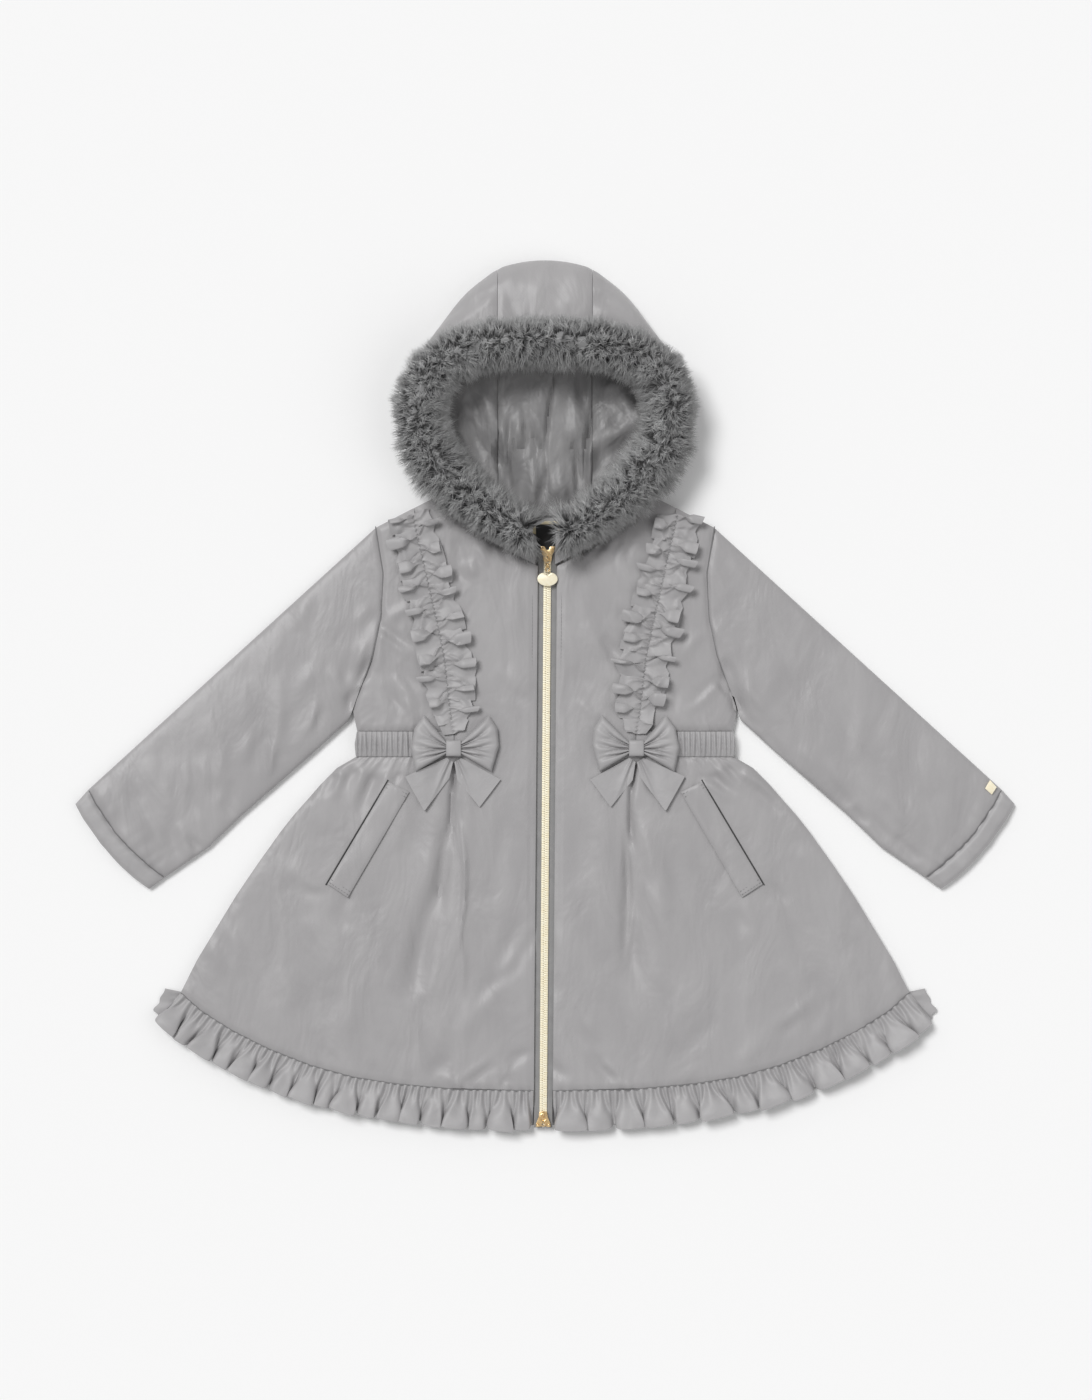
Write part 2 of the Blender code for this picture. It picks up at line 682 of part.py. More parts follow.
def hood_side_rows():
    rows = []
    for row in zip(*HOOD_SIDE.values()):
        rows.append(hood_profile(row[:3], row[3:5], row[5:]))
    return np.array(rows)


def hood_centre_rows():
    """Sections of the centre panel across the hood, from seam to seam."""
    last = hood_side_rows()[-1]
    seam = last[0][0] - SEAM
    floor = [(157.0, 0), (215, 0), (272, 0)] + [(point[1], point[2]) for point in last]
    rows = []
    for share in (-1, -0.5, 0, 0.5, 1):
        crown = 1 - share * share
        section = []
        for y, z in floor:
            reach = ease(y, 303, 371)
            section.append((seam * share, y + (HALF_LENGTH - 371) * crown * reach, z))
        rows.append(section)
    return np.array(rows)


def normals_of(points, flip):
    """A unit normal at each point of a grid of points, pointing into the hood."""
    down = np.gradient(points, axis=0)
    out = np.gradient(points, axis=1)
    normal = np.cross(out, down) * flip
    return normal / np.maximum(np.linalg.norm(normal, axis=2, keepdims=True), 1e-9)


def make_hood_piece(name, points, flip, side, seams):
    """One panel of the shell, and the panel of the lining inside it."""
    normal = normals_of(points, flip)
    for row in seams:
        normal[row, :, 0] = 0
    floor = points[:, :, 2] < 0.01
    normal[floor] = (0, 0, 1)
    normal /= np.linalg.norm(normal, axis=2, keepdims=True)
    if name != "centre":
        normal[4:, 0, :] = (0, 0, 1)
    layers = (("hood", 0.0, SHELL_WALL, GREY_SATIN),
              ("hood_lining", SHELL_WALL + SEAM, SHELL_WALL + SEAM + LINING_WALL, GREY_LINING))
    for label, near, far, colour in layers:
        def surface(column, row, depth):
            x, y, z = points[row][column] + normal[row][column] * depth
            return side * x, y, z

        mesh = wall(points.shape[1] - 1, points.shape[0] - 1,
                    lambda i, j: surface(i, j, near), lambda i, j: surface(i, j, far))
        suffix = name if name == "centre" else side_name(side)
        finish(f"{label}_{suffix}", mesh, colour)


def make_hood():
    sides = hood_side_rows()
    for side in (-1, 1):
        make_hood_piece("side", sides, 1, side, seams=[-1])
    make_hood_piece("centre", hood_centre_rows(), -1, 1, seams=[0, -1])


def fur_rim_height(x, y):
    """The height of the rim below the fur, from the nearest section of the hood."""
    rims = np.column_stack((HOOD_SIDE["rim_x"], HOOD_SIDE["rim_y"])).astype(float)
    heights = np.array(HOOD_SIDE["rim_z"], dtype=float)
    away = np.hypot(rims[:, 0] - abs(x), rims[:, 1] - y)
    nearest = np.argsort(away)[:2]
    weights = 1 / (away[nearest] + 0.01)
    return float(np.sum(heights[nearest] * weights) / np.sum(weights))


def make_fur():
    half = list(zip(FUR["x"], FUR["y"], FUR["half"]))
    line = np.array([(-x, y, reach) for x, y, reach in half[:-1]] + half[::-1], dtype=float)
    heights = np.array([fur_rim_height(x, y) for x, y, reach in line])
    heights = np.convolve(np.pad(heights, 1, mode="edge"), (0.25, 0.5, 0.25), mode="valid")
    run = np.concatenate(([0], np.cumsum(np.hypot(np.diff(line[:, 0]), np.diff(line[:, 1])))))
    rows = 38
    ring = 10
    stations = np.linspace(0, run[-1], rows + 1)
    track = np.column_stack([np.interp(stations, run, line[:, axis]) for axis in range(3)])
    lift = np.interp(stations, run, heights)
    course = np.gradient(track[:, :2], axis=0)
    course /= np.linalg.norm(course, axis=1, keepdims=True)
    mesh = bmesh.new()
    bmesh.ops.create_grid(mesh, x_segments=ring, y_segments=rows, size=0.5)
    for vertex in mesh.verts:
        column = round((vertex.co.x + 0.5) * ring) % ring
        row = round((vertex.co.y + 0.5) * rows)
        angle = 2 * math.pi * column / ring - math.pi / 2
        closing = 0.62 if row in (0, rows) else 1.0
        lump = 1 + 0.06 * math.sin(row * 2.3 + column * 1.7) * (column != 0)
        across = math.cos(angle) * track[row][2] * closing * lump
        deep = FUR_DEPTH * (1 + math.sin(angle) * closing * (lump if math.sin(angle) > 0 else 1))
        x = track[row][0] + course[row][1] * across
        y = track[row][1] - course[row][0] * across
        vertex.co = placed((x, y, lift[row] + 0.8 + deep))
    bmesh.ops.remove_doubles(mesh, verts=mesh.verts, dist=0.0001)
    bmesh.ops.holes_fill(mesh, edges=mesh.edges, sides=0)
    bmesh.ops.triangulate(mesh, faces=mesh.faces)
    finish("fur_trim", mesh, GREY_FUR, roughness=0.9)


# The zip, its sliders and pulls, and the small trims

TAPE_LOW = 6.3
TAPE_HIGH = 7.1
CHAIN_LOW = 5.9
CHAIN_HIGH = 8.9
CHAIN_HALF = 3.0
ZIP_TOP = 129.0
SLIDER_PLATE = 1.6
SLIDER_LOW = CHAIN_HIGH + 0.3
BAIL_HEIGHT = SLIDER_LOW + SLIDER_PLATE + 0.9
LINK_LENGTH = 10.5
CHARM_WIDTH = 17.6
CHARM_LENGTH = 12.4


def make_zip():
    for side in (-1, 1):
        edge = side * (CHAIN_HALF + SEAM)
        outline = [(edge, ZIP_TOP), (side * 8.0, ZIP_TOP), (side * 8.0, 110.0), (side * 14.0, 109.0),
                   (side * 14.0, -341.0), (side * 8.0, -342.0), (side * 8.0, -375.5), (edge, -375.5)]
        finish(f"zip_tape_{side_name(side)}", slab(outline, TAPE_LOW, TAPE_HIGH), TAPE_GREY)
    chain = [(-CHAIN_HALF, ZIP_TOP - 2), (CHAIN_HALF, ZIP_TOP - 2), (CHAIN_HALF, -374), (-CHAIN_HALF, -374)]
    finish("zip_chain", slab(chain, CHAIN_LOW, CHAIN_HIGH), PALE_GOLD, 0.3, 1.0)


def make_slider(name, middle_y, up):
    """A slider plate, wide at the end where the teeth part, with an arch over it for the pull."""
    mesh = bmesh.new()
    x0 = lean(0, middle_y)
    half = ((3.6, -6.5), (4.3, -2.0), (6.3, 3.5), (6.3, 6.5), (2.0, 6.5), (0.9, 3.5))
    outline = [(x, y) for x, y in half] + [(-x, y) for x, y in reversed(half)]
    corners = [mesh.verts.new((x0 + x, middle_y + up * y, SLIDER_LOW)) for x, y in outline]
    face = mesh.faces.new(corners)
    grown = bmesh.ops.extrude_face_region(mesh, geom=[face], use_keep_orig=True)
    lifted = [item for item in grown["geom"] if isinstance(item, bmesh.types.BMVert)]
    bmesh.ops.translate(mesh, verts=lifted, vec=(0, 0, SLIDER_PLATE))
    bmesh.ops.triangulate(mesh, faces=mesh.faces)
    plate = finish(name, mesh, WARM_GOLD, 0.28, 1.0)
    arch = bmesh.new()
    profile = ((-2.8, -0.3), (-2.8, 1.6), (-1.8, 2.6), (1.8, 2.6), (2.8, 1.6), (2.8, -0.3), (1.3, -0.3),
               (1.3, 1.2), (0.8, 1.7), (-0.8, 1.7), (-1.3, 1.2), (-1.3, -0.3))
    hinge = hinge_y(middle_y)
    ring = [arch.verts.new((x0 - 1.1, hinge + y, SLIDER_LOW + SLIDER_PLATE + z)) for y, z in profile]
    face = arch.faces.new(ring)
    grown = bmesh.ops.extrude_face_region(arch, geom=[face], use_keep_orig=True)
    moved = [item for item in grown["geom"] if isinstance(item, bmesh.types.BMVert)]
    bmesh.ops.translate(arch, verts=moved, vec=(2.2, 0, 0))
    bmesh.ops.triangulate(arch, faces=arch.faces)
    bail = finish(name + "_bail", arch, WARM_GOLD, 0.28, 1.0)
    join = plate.modifiers.new("bail", "BOOLEAN")
    join.operation = "UNION"
    join.solver = "EXACT"
    join.object = bail
    bail.hide_render = True
    bail.display_type = "WIRE"
    return plate


def hinge_y(middle_y):
    return PULL_HINGE_Y if middle_y > 0 else BOTTOM_HINGE_Y


def bar_frame(name, hinge, width, length, bar, colour):
    """A flat link of bar, whose upper bar lies in the arch and whose lower bar holds the charm."""
    x0, y0, z0 = hinge
    mesh = bmesh.new()
    outer = [(-width / 2, bar / 2), (width / 2, bar / 2), (width / 2, -length - bar / 2), (-width / 2, -length - bar / 2)]
    inner = [(-width / 2 + bar, -bar / 2), (width / 2 - bar, -bar / 2), (width / 2 - bar, -length + bar / 2),
             (-width / 2 + bar, -length + bar / 2)]
    low = [mesh.verts.new((x0 + x, y0 + y, z0 - bar / 2)) for x, y in outer + inner]
    for step in range(4):
        following = (step + 1) % 4
        mesh.faces.new((low[step], low[following], low[4 + following], low[4 + step]))
    grown = bmesh.ops.extrude_face_region(mesh, geom=mesh.faces, use_keep_orig=True)
    lifted = [item for item in grown["geom"] if isinstance(item, bmesh.types.BMVert)]
    bmesh.ops.translate(mesh, verts=lifted, vec=(0, 0, bar))
    bmesh.ops.triangulate(mesh, faces=mesh.faces)
    return finish(name, mesh, colour, 0.28, 1.0, origin=hinge)


def heart(width, length, steps=24):
    """A wide, plain, two-lobed outline, its top at y = 0."""
    points = []
    for step in range(steps):
        angle = 2 * math.pi * step / steps
        x = width / 2 * math.sin(angle)
        lobe = 1 - 0.16 * math.exp(-(x / (0.13 * width)) ** 2) * (math.cos(angle) > 0)
        y = length / 2 * math.cos(angle) * (lobe if math.cos(angle) > 0 else 1.0)
        points.append((x, y - length / 2))
    return points


def make_charm(hinge):
    """A flat two-lobed plate with a knuckle at its top, through which the link's lower bar passes."""
    x0, y0, z0 = hinge
    mesh = bmesh.new()
    corners = [mesh.verts.new((x0 + x, y0 - 1.1 + y, z0 + 0.2)) for x, y in heart(CHARM_WIDTH, CHARM_LENGTH)]
    face = mesh.faces.new(corners)
    grown = bmesh.ops.extrude_face_region(mesh, geom=[face], use_keep_orig=True)
    lifted = [item for item in grown["geom"] if isinstance(item, bmesh.types.BMVert)]
    bmesh.ops.translate(mesh, verts=lifted, vec=(0, 0, 1.2))
    bmesh.ops.triangulate(mesh, faces=mesh.faces)
    plate = finish("pull_charm", mesh, PALE_GOLD, 0.3, 1.0, origin=hinge)

    def ring(column, row, radius):
        angle = 2 * math.pi * column / 12
        return (x0 - 1.6 + 3.2 * row, y0 + radius * math.cos(angle), z0 + radius * math.sin(angle))

    tube = wall_straight(12, 1, lambda i, j: ring(i, j, 1.9), lambda i, j: ring(i, j, 1.0))
    knuckle = finish("pull_charm_knuckle", tube, PALE_GOLD, 0.3, 1.0)
    join = plate.modifiers.new("knuckle", "BOOLEAN")
    join.operation = "UNION"
    join.solver = "EXACT"
    join.object = knuckle
    knuckle.hide_render = True
    knuckle.display_type = "WIRE"
    return plate


def wall_straight(columns, rows, outside, inside):
    """A tube wall for hard pieces, which don't follow the cloth's lean."""
    mesh = wall(columns, rows, outside, inside, closed=True)
    for vertex in mesh.verts:
        x, y, z = vertex.co
        vertex.co.x = x - lean_near(x, y)
    return mesh


def lean_near(x, y):
    """The lean that was added to a point near the zip, where the shift doesn't fall off."""
    return read(LEAN, "y", y, "x")


def make_pulls():
    x0 = lean(0, PULL_HINGE_Y)
    hinge = (x0, PULL_HINGE_Y, BAIL_HEIGHT)
    bar_frame("pull_link", hinge, 6.4, LINK_LENGTH, 1.0, WARM_GOLD)
    make_charm((x0, PULL_HINGE_Y - LINK_LENGTH, BAIL_HEIGHT))
    low_x = lean(0, BOTTOM_HINGE_Y)
    bar_frame("bottom_pull", (low_x, BOTTOM_HINGE_Y, BAIL_HEIGHT), 6.4, 10.0, 1.0, WARM_GOLD)


def make_trims():
    corners = [(385.6, -77.8), (389.9, -70.5), (395.7, -76.7), (391.5, -83.2)]
    inset = np.array((-3.0, -2.6))
    plate = [tuple(np.array(corner) + inset) for corner in corners]
    finish("cuff_plate", slab(plate, 8.9, 9.7), PALE_GOLD, 0.3, 1.0)
    label = [(-14, 152.5), (-14, 141), (14, 141), (14, 152.5)]
    finish("neck_label", slab(label, WALL + SEAM, WALL + SEAM + 0.6), PALE_GOLD, 0.7)


def clear_scene():
    for item in list(bpy.data.objects):
        bpy.data.objects.remove(item, do_unlink=True)


def build():
    clear_scene()
    make_back()
    make_back_ruffle()
    for side in (-1, 1):
        make_front(side)
        make_side_bodice(side)
        make_waistband(side)
        make_sleeve(side)
        make_cuff(side)
        make_hem_ruffle(side)
        make_strip(side)
        make_welt(side)
        make_bow_loops(side)
        make_knot(side)
        make_tail(side, "outer")
        make_tail(side, "inner")
    make_hood()
    make_fur()
    make_zip()
    make_slider("zip_slider_top", 123.5, 1)
    make_slider("zip_slider_bottom", -368.0, -1)
    make_pulls()
    make_trims()


build()
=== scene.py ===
# %% [markdown]
# # A child's hooded coat, laid flat with its front up
# The coat is a lightly padded grey satin one, with a fur-trimmed hood, frilled strips from the
# shoulders to the waist, bows, a gathered skirt, a hem ruffle and a pale gold zip. It is dressed
# piece by piece over a fixed frame of solids. Every cloth piece is a thin wall that follows its
# solid, and gets its folds here. Sizes are written in millimetres and brought to metres as they
# are placed. Left means the left of the front as it is seen, the -X side.

# %% The frame
import math

import bmesh
import bpy
import numpy as np
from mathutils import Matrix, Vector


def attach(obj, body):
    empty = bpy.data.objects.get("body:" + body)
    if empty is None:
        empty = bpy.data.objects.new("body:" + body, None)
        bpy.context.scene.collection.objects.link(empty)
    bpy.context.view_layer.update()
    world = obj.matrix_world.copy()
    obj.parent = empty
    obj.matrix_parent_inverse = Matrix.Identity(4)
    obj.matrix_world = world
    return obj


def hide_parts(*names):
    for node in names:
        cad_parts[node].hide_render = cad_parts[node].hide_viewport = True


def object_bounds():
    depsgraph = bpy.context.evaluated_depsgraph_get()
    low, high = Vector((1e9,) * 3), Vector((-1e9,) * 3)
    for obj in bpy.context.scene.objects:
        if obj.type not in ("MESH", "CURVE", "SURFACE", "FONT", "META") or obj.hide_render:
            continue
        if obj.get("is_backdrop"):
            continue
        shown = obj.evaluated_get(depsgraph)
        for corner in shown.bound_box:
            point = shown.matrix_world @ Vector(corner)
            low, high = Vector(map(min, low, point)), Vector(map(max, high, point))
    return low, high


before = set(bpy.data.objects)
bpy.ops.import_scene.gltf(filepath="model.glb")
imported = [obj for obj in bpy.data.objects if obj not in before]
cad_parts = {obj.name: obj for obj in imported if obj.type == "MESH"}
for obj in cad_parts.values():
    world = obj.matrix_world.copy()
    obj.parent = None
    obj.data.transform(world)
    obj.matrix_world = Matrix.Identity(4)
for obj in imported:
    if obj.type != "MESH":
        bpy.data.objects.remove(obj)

solid_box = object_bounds()
MM = 0.001
print("frame nodes:", len(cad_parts))

# %% [markdown]
# ## The camera and the light
# The coat is seen from straight above, so the camera looks down and the top of its picture is
# towards the hood. One large soft lamp stands at the upper left and throws a short soft shadow to
# the lower right. A weaker one fills from the right, and a bright plain sky does the rest.

# %% The camera and the light
FRAME_WIDTH_PX = 1092
FRAME_HEIGHT_PX = 1400
MM_PER_PX = 0.87
MIDDLE_PX = (545.0, 696.0)
LENS = 85.0
SENSOR = 36.0

scene = bpy.context.scene
picture_height = FRAME_HEIGHT_PX * MM_PER_PX * MM
picture_centre = ((FRAME_WIDTH_PX / 2 - MIDDLE_PX[0]) * MM_PER_PX * MM,
                  (MIDDLE_PX[1] - FRAME_HEIGHT_PX / 2) * MM_PER_PX * MM)
camera_data = bpy.data.cameras.new("camera")
camera_data.lens = LENS
camera_data.sensor_width = SENSOR
camera_data.sensor_height = SENSOR
camera_data.clip_end = 20.0
camera = bpy.data.objects.new("camera", camera_data)
camera.location = (*picture_centre, picture_height * LENS / SENSOR + 0.008)
scene.collection.objects.link(camera)
scene.camera = camera
scene.view_settings.view_transform = "Standard"

world = bpy.data.worlds.new("pale_studio")
world.use_nodes = True
world.node_tree.nodes["Background"].inputs["Color"].default_value = (1.0, 1.0, 1.0, 1)
world.node_tree.nodes["Background"].inputs["Strength"].default_value = 0.40
scene.world = world


def lamp(name, place, spread, strength):
    """A distant soft lamp that shines from a place towards the middle of the coat."""
    data = bpy.data.lights.new(name, "SUN")
    data.angle = spread
    data.energy = strength
    item = bpy.data.objects.new(name, data)
    item.location = place
    aim = -np.array(place) / np.linalg.norm(place)
    item.rotation_euler = (math.acos(-aim[2]), 0, math.atan2(aim[1], aim[0]) - math.pi / 2)
    scene.collection.objects.link(item)


lamp("key_light", (-1.7, 1.95, 4.0), 0.42, 1.98)
lamp("fill_light", (2.6, -1.2, 2.6), 0.9, 0.36)

floor_mesh = bpy.data.meshes.new("floor")
floor_shape = bmesh.new()
bmesh.ops.create_grid(floor_shape, x_segments=1, y_segments=1, size=6.0)
bmesh.ops.translate(floor_shape, verts=floor_shape.verts, vec=(0, 0, -0.0003))
floor_shape.to_mesh(floor_mesh)
floor_shape.free()
floor = bpy.data.objects.new("floor", floor_mesh)
scene.collection.objects.link(floor)
floor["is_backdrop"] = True
print("camera height:", round(camera.location.z, 3), "m")

# %% [markdown]
# ## Shared effects of the materials
# Several finishes share the same fine effects, so each effect is a node group that is built once.
# The first is a woven grain, two crossed waves, which puts out a height. The second is a soft
# crumple, two scales of noise, which puts out a height and a mask; the mask makes the colour darker
# in the crumple's troughs, which is painted shade, and varies the roughness. Each material feeds
# them to its own bump, colour and roughness.

# %% Node groups for grain and crumple


def new_group(name, inputs, outputs):
    group = bpy.data.node_groups.new(name, "ShaderNodeTree")
    for label, kind, value in inputs:
        socket = group.interface.new_socket(name=label, in_out="INPUT", socket_type=kind)
        socket.default_value = value
    for label, kind in outputs:
        group.interface.new_socket(name=label, in_out="OUTPUT", socket_type=kind)
    return group, group.nodes.new("NodeGroupInput"), group.nodes.new("NodeGroupOutput")


def math_node(nodes, operation, first, second, links):
    node = nodes.new("ShaderNodeMath")
    node.operation = operation
    for socket, value in zip(node.inputs, (first, second)):
        if isinstance(value, (int, float)):
            socket.default_value = value
        else:
            links.new(value, socket)
    return node.outputs[0]


def make_weave_group():
    """Threads across and along, as a height. Threads gives how many there are in a metre."""
    group, entry, leave = new_group("woven_grain", [("Threads", "NodeSocketFloat", 2200.0)],
                                    [("Height", "NodeSocketFloat")])
    nodes, links = group.nodes, group.links
    place = nodes.new("ShaderNodeTexCoord")
    apart = nodes.new("ShaderNodeSeparateXYZ")
    links.new(place.outputs["Object"], apart.inputs[0])
    waves = []
    for axis in ("X", "Y"):
        angle = math_node(nodes, "MULTIPLY", apart.outputs[axis], entry.outputs["Threads"], links)
        waves.append(math_node(nodes, "SINE", angle, 0.0, links))
    product = math_node(nodes, "MULTIPLY", waves[0], waves[1], links)
    links.new(product, leave.inputs["Height"])
    return group


def make_crumple_group():
    """Soft broad and fine creases of light cloth, as a height and as a mask that paints shade into the colour of their
    troughs and varies the roughness.
    """
    group, entry, leave = new_group(
        "soft_crumple",
        [("Scale", "NodeSocketFloat", 30.0), ("Stretch", "NodeSocketVector", (1.0, 1.0, 1.0))],
        [("Height", "NodeSocketFloat"), ("Mask", "NodeSocketFloat")])
    nodes, links = group.nodes, group.links
    place = nodes.new("ShaderNodeTexCoord")
    stretch = nodes.new("ShaderNodeVectorMath")
    stretch.operation = "MULTIPLY"
    links.new(place.outputs["Object"], stretch.inputs[0])
    links.new(entry.outputs["Stretch"], stretch.inputs[1])
    broad = nodes.new("ShaderNodeTexNoise")
    broad.inputs["Detail"].default_value = 3.0
    broad.inputs["Distortion"].default_value = 0.6
    links.new(stretch.outputs[0], broad.inputs["Vector"])
    links.new(entry.outputs["Scale"], broad.inputs["Scale"])
    fine = nodes.new("ShaderNodeTexNoise")
    fine.inputs["Detail"].default_value = 4.0
    fine.inputs["Distortion"].default_value = 0.5
    links.new(stretch.outputs[0], fine.inputs["Vector"])
    links.new(math_node(nodes, "MULTIPLY", entry.outputs["Scale"], 4.3, links), fine.inputs["Scale"])
    fine_share = math_node(nodes, "MULTIPLY", fine.outputs[0], 0.1, links)
    links.new(math_node(nodes, "ADD", broad.outputs[0], fine_share, links), leave.inputs["Height"])
    links.new(broad.outputs[0], leave.inputs["Mask"])
    return group


WEAVE = make_weave_group()
CRUMPLE = make_crumple_group()
print("node groups:", WEAVE.name, CRUMPLE.name)

# %% [markdown]
# ## Finishes
# The shell is a satin with a soft sheen, so its roughness is middling and varies with the crumple.
# Every cloth is coloured a little darker in its crumple's troughs, which is painted shade. The
# lining is the same grey cloth, but its colour is darker, painted shade of the hood's hollow, and
# it is creased and duller. The fur is dark at its roots and paler at its tips, which an attribute
# on the strands tells. The seam cloth and the near-black cloth are painted shade in seams, pocket
# openings and the neck; the seam cloth also colours the threads. The zip and the small trims are a
# pale, slightly warm gold. Colours are given in linear light.

# %% Finishes


def principled(name):
    shade = bpy.data.materials.new(name)
    shade.use_nodes = True
    nodes = shade.node_tree.nodes
    return shade, nodes, shade.node_tree.links, nodes["Principled BSDF"]


def colour_ramp(nodes, links, driver, low, high, start=0.3, end=0.7):
    ramp = nodes.new("ShaderNodeValToRGB")
    ramp.color_ramp.elements[0].position = start
    ramp.color_ramp.elements[0].color = (*low, 1)
    ramp.color_ramp.elements[1].position = end
    ramp.color_ramp.elements[1].color = (*high, 1)
    links.new(driver, ramp.inputs[0])
    return ramp.outputs[0]


def cloth_finish(name, low, high, roughness, crumple_scale, crumple_depth, stretch=(1, 1, 1), sheen=0.15):
    """Cloth with a woven grain and a crumple bump; its colour is painted darker in the crumple's troughs as shade, and
    its roughness varies with them.
    """
    shade, nodes, links, surface = principled(name)
    crumple = nodes.new("ShaderNodeGroup")
    crumple.node_tree = CRUMPLE
    crumple.inputs["Scale"].default_value = crumple_scale
    crumple.inputs["Stretch"].default_value = stretch
    weave = nodes.new("ShaderNodeGroup")
    weave.node_tree = WEAVE
    # Painted shade: the colour is darker where the crumple's bump is low.
    links.new(colour_ramp(nodes, links, crumple.outputs["Mask"], low, high), surface.inputs["Base Color"])
    rough = nodes.new("ShaderNodeMapRange")
    rough.inputs["To Min"].default_value = roughness - 0.05
    rough.inputs["To Max"].default_value = roughness + 0.07
    links.new(crumple.outputs["Mask"], rough.inputs["Value"])
    links.new(rough.outputs[0], surface.inputs["Roughness"])
    grain = nodes.new("ShaderNodeBump")
    grain.inputs["Distance"].default_value = 0.00004
    grain.inputs["Strength"].default_value = 0.35
    links.new(weave.outputs["Height"], grain.inputs["Height"])
    folds = nodes.new("ShaderNodeBump")
    folds.inputs["Distance"].default_value = crumple_depth * MM
    folds.inputs["Strength"].default_value = 1.0
    links.new(crumple.outputs["Height"], folds.inputs["Height"])
    links.new(grain.outputs[0], folds.inputs["Normal"])
    links.new(folds.outputs[0], surface.inputs["Normal"])
    surface.inputs["Sheen Weight"].default_value = sheen
    surface.inputs["Sheen Roughness"].default_value = 0.4
    surface.inputs["Specular IOR Level"].default_value = 0.42
    return shade


def gold_finish(name, low, high, roughness, metallic):
    """Plated metal, with a faint mottle and brushed roughness."""
    shade, nodes, links, surface = principled(name)
    place = nodes.new("ShaderNodeTexCoord")
    mottle = nodes.new("ShaderNodeTexNoise")
    mottle.inputs["Scale"].default_value = 380.0
    links.new(place.outputs["Object"], mottle.inputs["Vector"])
    links.new(colour_ramp(nodes, links, mottle.outputs[0], low, high), surface.inputs["Base Color"])
    spread = nodes.new("ShaderNodeMapRange")
    spread.inputs["To Min"].default_value = roughness - 0.06
    spread.inputs["To Max"].default_value = roughness + 0.08
    links.new(mottle.outputs[0], spread.inputs["Value"])
    links.new(spread.outputs[0], surface.inputs["Roughness"])
    surface.inputs["Metallic"].default_value = metallic
    return shade


def fur_finish():
    """Strands from dark roots to pale tips; each strand has its own shade."""
    shade, nodes, links, surface = principled("fur_strands")
    tip = nodes.new("ShaderNodeAttribute")
    tip.attribute_name = "tip"
    tone = nodes.new("ShaderNodeAttribute")
    tone.attribute_name = "tone"
    along = colour_ramp(nodes, links, tip.outputs["Fac"], (0.1, 0.1, 0.101), (0.68, 0.68, 0.68), 0.0, 1.0)
    blend = nodes.new("ShaderNodeMix")
    blend.data_type = "RGBA"
    blend.blend_type = "MULTIPLY"
    blend.inputs["Factor"].default_value = 1.0
    links.new(along, blend.inputs["A"])
    tones = colour_ramp(nodes, links, tone.outputs["Fac"], (0.62, 0.62, 0.62), (1.18, 1.18, 1.18), 0.0, 1.0)
    links.new(tones, blend.inputs["B"])
    links.new(blend.outputs["Result"], surface.inputs["Base Color"])
    surface.inputs["Roughness"].default_value = 0.62
    surface.inputs["Specular IOR Level"].default_value = 0.3
    return shade


SATIN = cloth_finish("satin", (0.345, 0.336, 0.341), (0.385, 0.376, 0.380), 0.42, 24.0, 3.2, (1.3, 0.62, 1.0))
SATIN_FRILL = cloth_finish("satin_frill", (0.36, 0.352, 0.357), (0.40, 0.392, 0.396), 0.48, 60.0, 0.7)
# Dark cloth for the threads and for the painted shade in the hollows of seams.
THREAD_AND_SEAM_SHADE = cloth_finish("thread_and_seam_shade", (0.16, 0.157, 0.16), (0.19, 0.186, 0.19), 0.6, 60.0, 0.4)
# The lining's colour is darker than the shell's grey: painted shade of the hood's hollow.
LINING_WITH_PAINTED_SHADE = cloth_finish("lining", (0.185, 0.182, 0.184), (0.285, 0.28, 0.282), 0.42, 30.0, 4.2, (1.2, 0.75, 1.0))
# Near-black cloth that is painted shade, inside the neck and in the pocket openings.
PAINTED_SHADE_CLOTH = cloth_finish("painted_shade_cloth", (0.035, 0.035, 0.035), (0.06, 0.06, 0.06), 0.8, 60.0, 0.5)
TAPE = cloth_finish("zip_tape", (0.25, 0.248, 0.25), (0.29, 0.288, 0.29), 0.7, 90.0, 0.3)
LABEL = cloth_finish("label_cloth", (0.8, 0.68, 0.42), (0.9, 0.8, 0.56), 0.5, 120.0, 0.3)
PALE_GOLD = gold_finish("pale_gold", (0.98, 0.88, 0.64), (1.0, 0.94, 0.75), 0.36, 0.22)
WARM_GOLD = gold_finish("warm_gold", (0.88, 0.60, 0.28), (0.96, 0.73, 0.42), 0.26, 0.8)
FUR_SHADE = fur_finish()

floor_shade, floor_nodes, floor_links, floor_surface = principled("pale_floor")
floor_surface.inputs["Base Color"].default_value = (0.93, 0.93, 0.93, 1)
floor_surface.inputs["Roughness"].default_value = 0.9
floor_surface.inputs["Specular IOR Level"].default_value = 0.0
floor_mesh.materials.append(floor_shade)
print("finishes made:", len(bpy.data.materials))

# %% [markdown]
# ## Sizes of the coat
# These tables give where the seams, edges and folds lie, in millimetres. A row of a table is one
# place along a line, and between two rows the line runs straight. Most tables hold the right half;
# the left half mirrors it.

# %% Tables of sizes


def table(names, *rows):
    """A table of rows whose columns are read by name."""
    return {name: np.array([row[index] for row in rows], dtype=float)
            for index, name in enumerate(names.split())}


WALL = 4.0
SATIN_WALL = 1.2
SEAM = 0.3
HOLLOW = 3.2
ZIP_EDGE = 8.3
WAIST_TOP = -30.5
WAIST_BOTTOM = -53.0
FRONT_UNDER = WALL + SEAM
BOW_CENTRE = (79.3, -45.3)

